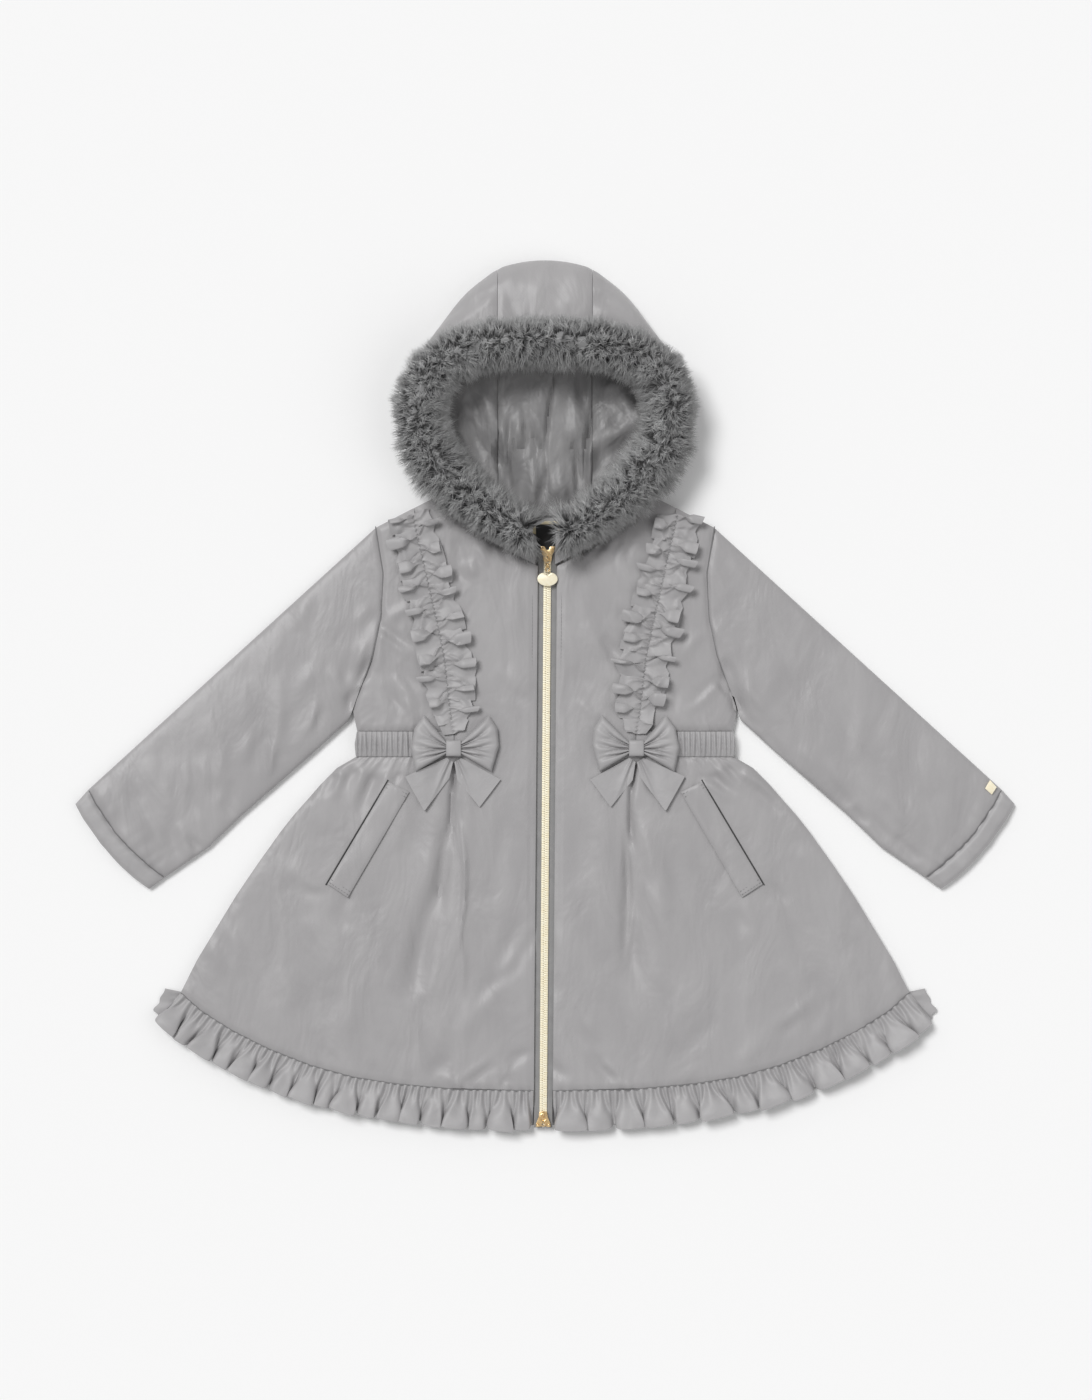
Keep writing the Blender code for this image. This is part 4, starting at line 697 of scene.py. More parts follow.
def shown(name, shape, shade, sharp=40):
    """A named object from a bmesh in metres, smooth but for its sharp edges."""
    data = bpy.data.meshes.new(name)
    shape.to_mesh(data)
    shape.free()
    data.materials.append(shade)
    data.shade_smooth()
    data.set_sharp_from_angle(angle=math.radians(sharp))
    piece = bpy.data.objects.new(name, data)
    scene.collection.objects.link(piece)
    return piece


def worn(piece, slot, *nodes, body="root"):
    """Ties a piece to its body and hides the solids that it stands for. The slot is not used."""
    if nodes:
        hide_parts(*nodes)
    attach(piece, body)
    return piece


def side_name(side):
    return "left" if side < 0 else "right"


SIDES = (-1, 1)


def count(normal):
    return normal


# %% [markdown]
# ## The back layer
# The back lies flat on the ground under everything else, in a bodice, a waistband and a skirt. It
# is finished plainly, with a few long soft folds below the waistband like those of the front.

# %% The back layer
BACK_FOLDS = ((-212, -70, -262, -240, 9, 1.1, 0), (-140, -60, -165, -250, 10, 0.9, 1), (-75, -56, -88, -300, 9, 1.2, 1),
              (-12, -60, -18, -280, 12, 0.8, 1), (62, -58, 75, -260, 9, 1.1, 1), (128, -56, 160, -280, 10, 1.0, 1),
              (190, -72, 250, -250, 9, 1.0, 0), (-95, 120, -60, 30, 12, 0.8, 0), (98, 110, 70, 10, 11, 0.8, 0),
              (5, 130, -12, 0, 14, 0.7, 0), (-120, 60, -100, -20, 9, 0.8, 0), (126, 40, 112, -25, 8, 0.8, 0))


def back_piece(name, top, bottom, outer, rows, columns, node):
    """A flat panel across the whole back, from its top line to its bottom line."""
    down, across = grid(count(rows), count(columns))
    share = np.abs(2 * across - 1)
    middle = {"x": np.array([0.0, 0.0]), "y": np.array([top(0.0)[1], bottom(0.0)[1]])}
    plan = patch(share, down, start=lambda s: np.stack(np.broadcast_arrays(*top(s)), axis=-1),
                 end=lambda s: np.stack(np.broadcast_arrays(*bottom(s)), axis=-1),
                 low=lambda t: along(middle, t), high=lambda t: along(outer, t))
    x, y = plan[..., 0] * np.sign(2 * across - 1), plan[..., 1]
    hollow = np.clip(crease_height(x, y, BACK_FOLDS), 0, 1.6)
    roll = edge_roll(np.dstack((x, y)), ("top", "bottom", "first", "last"), 0.9, 2.5)
    piece = cloth(name, placed(x, y, WALL - roll * 0.5), placed(x, y, hollow + roll), SATIN)
    worn(piece, "shell", node)
    return piece


def line_across(path):
    """A function that gives the points of a path that starts at the middle."""
    return lambda s: tuple(np.moveaxis(along(path, s), -1, 0))


HEM_WHOLE = {"x": np.concatenate(([0.0], HEM["x"][1:])), "y": HEM["y"]}
back_piece("coat_back_bodice", line_across(BACK_TOP), lambda s: (163.5 * s, WAIST_TOP + 0 * s), SIDE,
           34, 60, "back_bodice")
back_piece("coat_back_waistband", lambda s: (163.5 * s, WAIST_TOP - SEAM + 0 * s),
           lambda s: (164.5 * s, WAIST_BOTTOM + SEAM + 0 * s), BAND_SIDE, 6, 60, "back_waistband")
back_piece("coat_back_skirt", lambda s: (164.5 * s, WAIST_BOTTOM + 0 * s), line_across(HEM_WHOLE), SKIRT_SIDE,
           50, 90, "back_skirt")
print("back layer made")

# %% [markdown]
# ## The fronts
# Each front is cut in one piece from the neck to the hem. Its centre part runs the whole way, and
# below the waistband it widens to the side seam. The inverted pleat under the bow is a deep narrow
# groove that opens into a soft valley, with a crisp ridge beside it.

# %% The fronts
CENTRE_STEPS = count(42)
SIDE_STEPS = count(50)
BODICE_STEPS = count(60)
BAND_STEPS = count(10)
SKIRT_STEPS = count(106)
# The pleat of each side: its dark line, its ridge and how deep the line is
PLEAT_GROOVES = {-1: ((-77.4, -60, -78.2, -138, 2.3, -6.5, 1), (-77.6, -95, -90, -190, 5.4, -5.2, 0),
                      (-83, -140, -116, -264, 9, -5.0, 0)),
                 1: ((78.3, -60, 77.4, -138, 2.3, -6.5, 1), (77.6, -95, 77.0, -190, 5.0, -5.2, 0),
                     (77.4, -140, 84, -264, 9, -4.6, 0))}
PLEAT_RIDGES = {-1: ((-73.0, -112, -77.0, -222, 2.6, 3.4, 0), (-71, -70, -72, -170, 6, 1.8, 1),
                     (-94, -104, -131, -252, 10, 3.6, 0)),
                1: ((70.9, -112, 71.3, -228, 2.6, 3.4, 0), (70, -70, 69, -170, 6, 1.8, 1),
                    (91, -104, 100, -250, 9, 3.2, 0))}
# Gathers below the waistband: where each starts and ends, as a share of the way to the side seam
WAIST_FOLDS = ((0.24, 0.24, 0.9), (0.31, 0.29, 1.5), (0.385, 0.36, 0.8), (0.45, 0.43, 1.4), (0.52, 0.47, 1.0),
               (0.585, 0.56, 1.7), (0.66, 0.6, 0.9), (0.73, 0.7, 1.5), (0.8, 0.73, 1.1), (0.87, 0.83, 1.6),
               (0.94, 0.88, 1.1), (0.985, 0.94, 1.2))


def front_plan():
    """The plan of a right front: x, y, how far down the skirt and how far out to the side."""
    rows = BODICE_STEPS + BAND_STEPS + SKIRT_STEPS
    share = np.clip(np.arange(CENTRE_STEPS + SIDE_STEPS + 1) / CENTRE_STEPS, 0, 1)[None, :]
    x, y = np.zeros((rows + 1, share.size)), np.zeros((rows + 1, share.size))
    skirt_down, out = np.zeros_like(x), np.zeros_like(x)
    down = np.linspace(0, 1, BODICE_STEPS + 1)[:, None]
    seam_y = mix(PRINCESS["y"][0], WAIST_TOP, down)
    x[:BODICE_STEPS + 1] = mix(ZIP_EDGE, read(PRINCESS, "y", seam_y, "x"), share)
    top_y = read(NECKLINE, "x", mix(ZIP_EDGE, PRINCESS["x"][0], share), "y")
    y[:BODICE_STEPS + 1] = mix(top_y, WAIST_TOP, down)
    band = slice(BODICE_STEPS, BODICE_STEPS + BAND_STEPS + 1)
    x[band] = mix(ZIP_EDGE, 79, share)
    y[band] = mix(WAIST_TOP, WAIST_BOTTOM, np.linspace(0, 1, BAND_STEPS + 1)[:, None])
    skirt = slice(BODICE_STEPS + BAND_STEPS, rows + 1)
    down = np.linspace(0, 1, SKIRT_STEPS + 1)[:, None] ** 1.15
    corner_y = float(read(HEM, "x", 86, "y"))
    pleat_y = mix(WAIST_BOTTOM, corner_y, down)
    pleat_x = read(PLEAT, "y", pleat_y, "x")
    x[skirt] = mix(ZIP_EDGE, pleat_x, share)
    y[skirt] = mix(mix(WAIST_BOTTOM, HEM["y"][0], down), pleat_y, share)
    fractions = np.linspace(0, 1, 400)
    corner = float(np.interp(86, along(HEM, fractions)[:, 0], fractions))
    t, s = np.broadcast_arrays(down, np.linspace(0, 1, SIDE_STEPS + 1)[None, :])

    def pleat_line(fraction):
        at = mix(WAIST_BOTTOM, corner_y, fraction)
        return np.stack((read(PLEAT, "y", at, "x"), at), axis=-1)

    side_part = patch(s, t, start=lambda f: np.stack((mix(79, 164.5, f), WAIST_BOTTOM + 0 * f), axis=-1),
                      end=lambda f: along(HEM, mix(corner, 1, f)), low=pleat_line,
                      high=lambda f: along(SKIRT_SIDE, f))
    x[skirt, CENTRE_STEPS:] = side_part[..., 0]
    y[skirt, CENTRE_STEPS:] = side_part[..., 1]
    skirt_down[skirt] = down
    out[:, CENTRE_STEPS:] = np.linspace(0, 1, SIDE_STEPS + 1)[None, :]
    return x, y, skirt_down, out


def waist_gathers(x, y, skirt_down, out):
    """The folds that fall from the waistband and die out down the skirt."""
    total = np.zeros_like(x)
    for start, end, rise in WAIST_FOLDS:
        reach = 0.10 + 0.05 * rise
        centre = mix(start, end, np.clip(skirt_down / reach, 0, 1))
        total += rise * bell(out - centre, 0.021 + 0.12 * skirt_down) * np.clip(1 - skirt_down / reach, 0, 1) ** 0.8
    return total * (skirt_down > 0) - 0.9 * bell(y - WAIST_BOTTOM, 3) * (out > 0.15) * (skirt_down > 0)


def hem_puckers(x, y):
    """Short puckers above the hem seam, uneven in length."""
    phase = 0.62 * np.abs(x) + 1.3 * np.sin(0.11 * x) + 0.7 * np.sin(0.31 * x + 1)
    away = read(HEM, "x", np.abs(x), "y")
    reach = 7 + 5 * np.sin(0.17 * x + 2)
    return 0.55 * np.sin(phase) * np.exp(-np.clip(y - away, 0, None) / np.clip(reach, 3, None))


front_x, front_y, skirt_down, out_share = front_plan()
rows_spare = np.zeros((front_x.shape[0] - 1, front_x.shape[1] - 1), dtype=bool)
rows_spare[:BODICE_STEPS + BAND_STEPS, CENTRE_STEPS:] = True
for side in SIDES:
    x, y = side * front_x, front_y
    roll = edge_roll(np.dstack((x, y)), ("first", "last", "top", "bottom"), 1.6, 2.2)
    placket = 1.1 * bell(np.abs(x) - 12.6, 0.9)
    folds = crease_height(x, y, CREASES) + crease_height(x, y, PLEAT_RIDGES[side])
    groove = np.clip(crease_height(x, y, PLEAT_GROOVES[side]), -6.4, 0)
    high = (top_front(x, y) + folds + groove + waist_gathers(x, y, skirt_down, out_share)
            + hem_puckers(x, y) - roll - placket * (np.abs(x) < 20))
    low = np.minimum(np.clip(under_front(x, y) + np.minimum(folds, 0) + groove, FRONT_UNDER, None), high - 0.6)
    piece = cloth(f"coat_front_{side_name(side)}", placed(x, y, high), placed(x, y, low), SATIN, spare=rows_spare)
    worn(piece, "shell", f"front_{side_name(side)}")
print("fronts made:", len(piece.data.polygons), "faces each")

# %% [markdown]
# ## The sides of the bodice
# Each runs from under the ruffle strip to the armhole. Short slanting gathers stand above the
# waistband.

# %% The sides of the bodice
BAND_GATHERS = ((100, 9, 1.0), (105.5, 14, 1.2), (111, 11, 0.9), (117, 17, 1.3), (123.5, 12, 1.0), (129, 19, 1.4),
                (136, 13, 1.0), (142, 17, 1.2), (148.5, 12, 1.1), (155, 16, 1.0), (161, 9, 0.8))


def slanting_gathers(x, y):
    total = 0 * x
    for foot, length, rise in BAND_GATHERS:
        total = total + rise * bell(np.abs(x) - foot - 0.35 * (WAIST_TOP - y), 1.7) * \
            np.clip(1 + (WAIST_TOP - y) / length, 0, 1)
    return total


down, across = grid(count(84), count(40))
for side in SIDES:
    y = mix(PRINCESS["y"][0], WAIST_TOP, down)
    inner_x = read(PRINCESS, "y", y, "x") + SEAM
    outer_y = mix(SIDE["y"][0], WAIST_TOP, down)
    x = side * mix(inner_x, read(SIDE, "y", outer_y, "x"), across)
    y = mix(y, outer_y, across)
    roll = edge_roll(np.dstack((x, y)), ("last", "bottom", "top"), 1.8, 2.6)
    folds = crease_height(x, y, CREASES)
    high = top_front(x, y) + folds + slanting_gathers(x, y) - roll
    low = np.minimum(under_front(x, y) + np.minimum(folds, 0) * 0.5, high - 0.6)
    piece = cloth(f"coat_side_{side_name(side)}", placed(x, y, high), placed(x, y, low), SATIN)
    worn(piece, "shell", f"side_bodice_{side_name(side)}")
print("bodice sides made")

# %% [markdown]
# ## The waistband
# The band is elastic, so it is drawn up in uneven upright ribs beyond the bow.

# %% The waistband
RIB_PLACES = (97.5, 102.2, 106.3, 111.4, 115.8, 120.1, 125, 129.2, 134.1, 138.3, 143.1, 147.6, 151.9, 156.4, 160.3,
              163.9)
down, across = grid(count(16), count(170))
for side in SIDES:
    y = mix(WAIST_TOP - SEAM, WAIST_BOTTOM + SEAM, down)
    x = mix(79 + SEAM, read(BAND_SIDE, "y", y, "x"), across)
    bow_side = np.sin(math.pi * down)
    ribs = np.zeros_like(x)
    for number, place in enumerate(RIB_PLACES):
        tilt = 1.1 * math.sin(2.4 * number + side)
        ribs = np.maximum(ribs, (2.9 + 0.6 * math.sin(3.1 * number)) * bell(x - place - tilt * (down - 0.5), 1.75))
    high = top_front(x, y) + (ribs * (0.55 + 0.45 * bow_side) + 1.0 * bow_side ** 0.5) * from_bow(x) - 0.6
    low = under_front(x, y)
    piece = cloth(f"coat_waistband_{side_name(side)}", placed(side * x, y, high), placed(side * x, y, low), SATIN_FRILL)
    worn(piece, "shell", f"waistband_{side_name(side)}")
print("waistbands made")

# %% [markdown]
# ## The sleeves and cuffs
# Each is a tube that lies flat. Its two layers are rounded into each other along the folds, and the
# upper layer has slanting creases, deep ones at the underarm and short puckers at the cuff.

# %% The sleeves and cuffs


def tube(name, plan, lengths, width, swell, shade, puckers, rolled):
    """A flattened tube of padded cloth, whose plan is a function of across and along."""
    upper = 0.5 - 0.5 * np.cos(math.pi * np.linspace(0, 1, count(52) + 1))
    lower = upper[::2][::-1][1:]
    across = np.concatenate((upper, lower))
    is_lower = np.concatenate((np.zeros(upper.size), np.ones(lower.size)))
    s, t = np.broadcast_arrays(across[None, :], lengths[:, None])
    under_layer = np.broadcast_arrays(is_lower[None, :], t)[0]
    rounding = np.sqrt(np.clip(1 - np.abs(2 * s - 1) ** 16, 0, 1))
    full = swell * (1 - (2 * s - 1) ** 2) * np.sin(math.pi * mix(0.2, 0.8, t))
    xy = plan(s, t)
    x, y = xy[..., 0], xy[..., 1]
    creases = crease_height(x, y, CREASES) + puckers(s, t)
    ends = rolled * (bell(t * width, 2.4) + bell((1 - t) * width, 2.4))
    top = WALL + (WALL + full + creases - ends) * rounding
    bottom = WALL * (1 - rounding)
    outside = placed(x, y, np.where(under_layer > 0, bottom, top))
    drawn_in = plan(mix(0.5, s, 0.94), t)
    inner_top = WALL + SEAM + np.clip(full * 0.9 + np.minimum(creases, 0) * 0.5, 0, None) * rounding
    inner_bottom = WALL * np.ones_like(x)
    inside = placed(drawn_in[..., 0], drawn_in[..., 1], np.where(under_layer > 0, inner_bottom, inner_top))
    return cloth(name, outside, inside, shade, closed=True)


hole_fraction = np.linspace(0, 0.845, 40)
hole_y = mix(SIDE["y"][0], WAIST_TOP, hole_fraction)
ARMHOLE = {"x": read(SIDE, "y", hole_y, "x") + SEAM + 0.1, "y": hole_y}
FOLD_ABOVE = moved_start(SLEEVE_TOP, ARMHOLE["x"][0], ARMHOLE["y"][0])
FOLD_BELOW = moved_start(SLEEVE_UNDER, ARMHOLE["x"][-1], ARMHOLE["y"][-1])
CUFF_SHIFT = np.array((0.75, -0.66)) * (SEAM + 0.1)


def sleeve_plan(side):
    def plan(s, t):
        xy = patch(s, t, start=lambda f: along(ARMHOLE, f), end=lambda f: along(CUFF_SEAM, f),
                   low=lambda f: along(FOLD_ABOVE, f), high=lambda f: along(FOLD_BELOW, f))
        return xy * np.array((side, 1))
    return plan


def cuff_plan(side):
    def plan(s, t):
        xy = mix(along(CUFF_SEAM, s) + CUFF_SHIFT, along(CUFF_EDGE, s), t[..., None])
        return xy * np.array((side, 1))
    return plan


def sleeve_puckers(s, t):
    """Puckers that run into the cuff seam, longer towards the lower side."""
    phase = 46 * s + 2.2 * np.sin(9 * s) + 1.1 * np.sin(23 * s)
    reach = 0.035 + 0.05 * s * (0.6 + 0.4 * np.sin(31 * s))
    return 0.5 * np.sin(phase) * np.exp(-(1 - t) / reach)


def cuff_puckers(s, t):
    phase = 58 * s + 1.7 * np.sin(11 * s)
    return 0.5 * np.sin(phase) * np.exp(-t / 0.3) + 0.25 * np.sin(0.6 * phase + 1) * np.exp(-(1 - t) / 0.25)


for side in SIDES:
    label = side_name(side)
    piece = tube(f"coat_sleeve_{label}", sleeve_plan(side), np.linspace(0, 1, count(104) + 1), 290, HOLLOW, SATIN,
                 sleeve_puckers, 1.9)
    worn(piece, "shell", f"sleeve_{label}")
    piece = tube(f"coat_cuff_{label}", cuff_plan(side), np.linspace(0, 1, count(20) + 1), 18, HOLLOW * 0.6, SATIN_FRILL,
                 cuff_puckers, 1.5)
    worn(piece, "shell", f"cuff_{label}")
print("sleeves and cuffs made")

# %% [markdown]
# ## The hem ruffle
# The front ruffle is sewn to the hem in two halves. Small gathers stand at its seam, and its free
# edge falls in uneven box-like folds. The folds of the left half are narrower than those of the
# right. The back ruffle lies under it and shows at both corners and in the gaps.

# %% The hem ruffle
# Where the folds of each half crest, as shares of the hem from the zip outwards
FOLD_CRESTS = {-1: (0.03, 0.085, 0.145, 0.2, 0.262, 0.318, 0.365, 0.425, 0.485, 0.535, 0.59, 0.65, 0.705, 0.755, 0.812,
                    0.868, 0.925, 0.975),
               1: (0.045, 0.115, 0.19, 0.258, 0.335, 0.405, 0.482, 0.556, 0.625, 0.7, 0.772, 0.845, 0.91, 0.97)}
SEAM_GATHERS = 50


def fold_phase(share, crests):
    """The phase of the folds, a whole turn from crest to crest, for crests at uneven places."""
    crests = np.array(crests)
    places = np.concatenate(([2 * crests[0] - crests[1]], crests, [2 * crests[-1] - crests[-2]]))
    return 2 * math.pi * np.interp(share, places, np.arange(places.size) - 1)


def boxy(phase, sharpness=0.93):
    """A wave from -1 to 1 with steeper sides and flatter tops than a sine."""
    return np.tanh(1.3 * np.cos(phase) + 0.3) / math.tanh(1.3 * sharpness + 0.3)


down, across = grid(count(20), count(480))
for side in SIDES:
    crests = FOLD_CRESTS[side]
    phase = fold_phase(across, crests)
    number = np.round(phase / (2 * math.pi))
    uneven = np.sin(2.7 * number + side) * 0.5 + 0.5
    seam = along(HEM, across)
    outward = along(RUFFLE_EDGE, across) - seam
    length = np.linalg.norm(outward, axis=2, keepdims=True)
    outward_unit = outward / length
    sideways = np.stack((-outward_unit[..., 1], outward_unit[..., 0]), axis=-1)
    wave = boxy(phase + 0.5 * np.sin(1.9 * number))
    gathers = np.sin(2 * math.pi * SEAM_GATHERS * across + 2.1 * np.sin(17 * across) + np.sin(41 * across))
    fall = ease(down, 0.05, 0.95)
    reach = SEAM + (length[..., 0] - SEAM) * down * (1 + (0.05 + 0.05 * uneven) * (wave - 1) * fall)
    lean_over = (6.2 if side < 0 else 7.6) * np.sin(phase + 0.5 * np.sin(phase)) * (0.45 + 0.85 * uneven) * ease(down, 0.1, 1)
    plan = seam + outward_unit * reach[..., None] + sideways * lean_over[..., None]
    x, y = side * plan[..., 0], plan[..., 1]
    gather_fade = np.clip(1 - down / (0.42 + 0.4 * np.sin(1.3 * number + 1) ** 2), 0, 1)
    seam_height = under_front(seam[..., 0], seam[..., 1]) + 1.3 + 0.9 * gathers * gather_fade
    edge_height = FRONT_UNDER + 0.3 + (3.7 + 1.9 * uneven) * (1 + wave)
    ripple = (0.5 * np.sin(3.1 * phase + number) + 0.5 * np.sin(1.7 * phase - 5 * down)) * down * (1 - down) * 4
    high = mix(seam_height, edge_height, fall) + 2.4 * gathers * gather_fade * down ** 0.5 + ripple
    outside, inside = placed(x, y, high + SATIN_WALL), placed(x, y, high)
    piece = cloth(f"coat_hem_ruffle_{side_name(side)}", outside, inside, SATIN_FRILL)
    worn(piece, "shell", f"hem_ruffle_{side_name(side)}")

across_back = np.linspace(-1, 1, count(460) + 1)
down, across = np.meshgrid(np.linspace(0, 1, count(10) + 1), across_back, indexing="ij")
seam = along(HEM_WHOLE, np.abs(across))
outward = along(BACK_RUFFLE_EDGE, np.abs(across)) - seam
phase = 2 * math.pi * 30 * (across + 0.012 * np.sin(19 * across)) / 2
plan = seam + outward * mix(0.01, 1, down)[..., None]
calm = 1 - 0.8 * ease(np.abs(across), 0.93, 0.99)
x = plan[..., 0] * np.sign(across) + 1.8 * calm * np.sin(2 * phase) * down
gathers = 0.5 + 0.5 * np.sin(2 * math.pi * 45 * across)
high = mix(0.2 + 0.9 * gathers, 1.25 * (1 + calm * boxy(phase)), down ** 0.7)
piece = cloth("coat_back_ruffle", placed(x, plan[..., 1], high + SATIN_WALL), placed(x, plan[..., 1], high), SATIN_FRILL)
worn(piece, "shell", "hem_ruffle_back")
print("ruffles made")

# %% [markdown]
# ## The ruffle strips
# A ribbon is sewn down along its middle, and drawn up so far that both its edges fall into flaps
# that lie over one another. Each flap is listed: how far down the strip it lies, how far it
# reaches and how it leans.

# %% The ruffle strips
# Where each flap lies along the strip, its reach and its lean, for the outer and the inner edge
FLAPS = {
    "outer": ((0.015, 0.92, 0.5), (0.115, 1.04, -0.5), (0.22, 0.92, 0.8), (0.315, 1.06, 0.2), (0.43, 0.9, -0.7),
              (0.53, 1.06, 0.6), (0.645, 0.95, 0.9), (0.74, 1.06, -0.4), (0.85, 0.92, 0.6), (0.95, 0.8, 0.3)),
    "inner": ((0.06, 1.02, -0.6), (0.165, 0.9, 0.8), (0.28, 1.08, 0.4), (0.37, 0.88, -0.5), (0.48, 1.06, 0.9),
              (0.59, 0.95, -0.7), (0.685, 1.08, 0.4), (0.8, 0.92, 0.7), (0.9, 0.96, -0.5), (0.985, 0.75, 0.2)),
}
# Crisp creases that run out from the seam: where on the strip, how far they slant, their rise and
# how far out they start and end
STRIP_CREASES = ((0.03, 5, 1.1, 0, 0.8), (0.062, -3, -0.9, 0.1, 0.7), (0.1, 7, 1.2, 0, 0.95), (0.135, -6, 0.9, 0, 0.6),
                 (0.172, 2, -1.1, 0.05, 0.8), (0.21, -8, 1.2, 0, 0.9), (0.25, 4, 0.9, 0, 0.6), (0.285, 8, -1.0, 0, 0.8),
                 (0.33, -4, 1.2, 0, 0.9), (0.365, 6, 0.9, 0.1, 0.7), (0.405, -2, -1.1, 0, 0.8), (0.44, 9, 1.2, 0, 0.9),
                 (0.48, -7, 0.9, 0, 0.6), (0.52, 3, 1.1, 0, 0.9), (0.555, -5, -1.0, 0, 0.7), (0.6, 7, 1.2, 0, 0.9),
                 (0.64, -3, 0.9, 0.1, 0.7), (0.675, 5, -1.1, 0, 0.8), (0.72, -8, 1.2, 0, 0.9), (0.755, 2, 0.9, 0, 0.6),
                 (0.8, 6, -1.0, 0, 0.8), (0.84, -4, 1.0, 0, 0.8), (0.885, 4, 0.7, 0, 0.6), (0.93, -3, 0.6, 0, 0.6))


def strip_creases(places, out, side):
    """The creases of one edge of a strip, at places in millimetres down it and shares out from its seam."""
    total = np.zeros_like(out)
    for place, slant, rise, start, end in STRIP_CREASES:
        away = places - place * 191 - side * 1.5 * slant * out
        total += 1.9 * rise * bell(away, 0.8 + 0.8 * out) * ease(out, start - 0.1, start + 0.12) * (1 - ease(out, end - 0.2, end + 0.1))
    return total


STRIP_STEPS = count(360)
STRIP_ACROSS = count(24)
down, across = grid(STRIP_STEPS, STRIP_ACROSS)
for side in SIDES:
    edge = 2 * across - 1
    y_seam = mix(STRIP["y"][0], STRIP["y"][-1], down)
    length = STRIP["y"][0] - STRIP["y"][-1]
    x_seam = read(STRIP, "y", y_seam, "x")
    turn = np.arctan((read(STRIP, "y", y_seam + 5, "x") - read(STRIP, "y", y_seam - 5, "x")) / 10)
    flat_reach = np.where(edge > 0, read(STRIP, "y", y_seam, "outer"), read(STRIP, "y", y_seam, "inner"))
    phases, reaches, leans = [], [], []
    for key in ("inner", "outer"):
        rows = np.array(FLAPS[key])
        if side > 0:
            rows = rows + np.array((0.02, 0, 0)) * np.sin(np.arange(10) * 2.1)[:, None]
        phases.append(fold_phase(down, rows[:, 0]))
        nearest = np.clip(np.round(phases[-1] / (2 * math.pi)), 0, 9).astype(int)
        reaches.append(rows[nearest, 1])
        leans.append(rows[nearest, 2] * side)
    phase = np.where(edge > 0, phases[1], phases[0])
    smooth_reach = np.where(edge > 0, np.interp(down, np.array(FLAPS["outer"])[:, 0], np.array(FLAPS["outer"])[:, 1]),
                            np.interp(down, np.array(FLAPS["inner"])[:, 0], np.array(FLAPS["inner"])[:, 1]))
    lean = np.where(edge > 0, leans[1], leans[0])
    out = np.abs(edge)
    calm = 1 - 0.75 * ease(down, 0.84, 0.98)
    opened = ease(out, 0.04, 0.62)
    wave = np.arcsin(0.97 * np.cos(phase)) / (math.pi / 2)
    fold_side = np.sin(phase + 0.55 * np.sin(phase + lean))
    slide = (7.2 + 1.6 * np.sin(1.7 * phase / (2 * math.pi) + side)) * fold_side * opened * calm
    reach = flat_reach * smooth_reach * edge * (1 + 0.1 * wave * out + 0.09 * np.sin(phase + 2 * lean) * out - 0.06 * out)
    pucker = 0.8 * np.sin(2 * math.pi * 44 * down + 3 * np.sin(13 * down)) * bell(out, 0.16)
    x = x_seam + reach * np.cos(turn) + slide * np.sin(turn) + pucker * 0.8
    y = y_seam - reach * np.sin(turn) * 1 + slide * np.cos(turn)
    rise = (1 + wave) * 0.5 * (9.0 * opened + 1.6 * bell(out - 0.2, 0.12)) * calm
    crinkle = 0.5 * np.sin(phase * 2 + 5 * out + lean) * opened * calm * (1 - 0.4 * out)
    crinkle += strip_creases(down * length, out, np.where(edge > 0, -side, side)) * calm
    base = top_front(x_seam, y_seam) + 0.4 - 0.6 * bell(out, 0.06)
    high = base + rise + crinkle + pucker * 0.5 + 0.4
    piece = cloth(f"coat_strip_{side_name(side)}", placed(side * x, y, high + 0.9), placed(side * x, y, high), SATIN_FRILL)
    worn(piece, "shell", f"ruffle_strip_{side_name(side)}")
print("ruffle strips made")

# %% [markdown]
# ## The pocket welts
# A welt is a narrow folded band along a slanting pocket. Its outer edge is the opening, where a
# strip of painted shade lies, and short double rows of stitching hold its ends.

# %% The pocket welts


def welt_points(along_welt, over):
    return mix(along(WELT_OUTER, along_welt), along(WELT_INNER, along_welt), over[..., None])


down, across = grid(count(70), count(14))
for side in SIDES:
    xy = welt_points(down, across)
    x, y = xy[..., 0], xy[..., 1]
    roll = edge_roll(xy, ("first", "last", "top", "bottom"), 0.9, 1.2)
    crown = 0.5 * np.sin(math.pi * across) + 0.25 * np.sin(9 * down + 4 * across) * np.sin(math.pi * across)
    base = top_front(x, y) + 0.7
    piece = cloth(f"coat_welt_{side_name(side)}", placed(side * x, y, base + 2.2 + crown - roll),
                  placed(side * x, y, base), SATIN)
    worn(piece, "shell", f"pocket_welt_{side_name(side)}")
print("welts made")

# %% [markdown]
# ## The bows
# Each bow is a band folded into two hollow loops, a square knot round its middle and two tails
# that end in points. Sharp pleats run out from the knot over the loops.

# %% The bows
LOOP_PLEATS = ((-0.62, 1.0), (-0.3, 0.6), (0.02, 1.0), (0.34, 0.65), (0.66, 0.95))


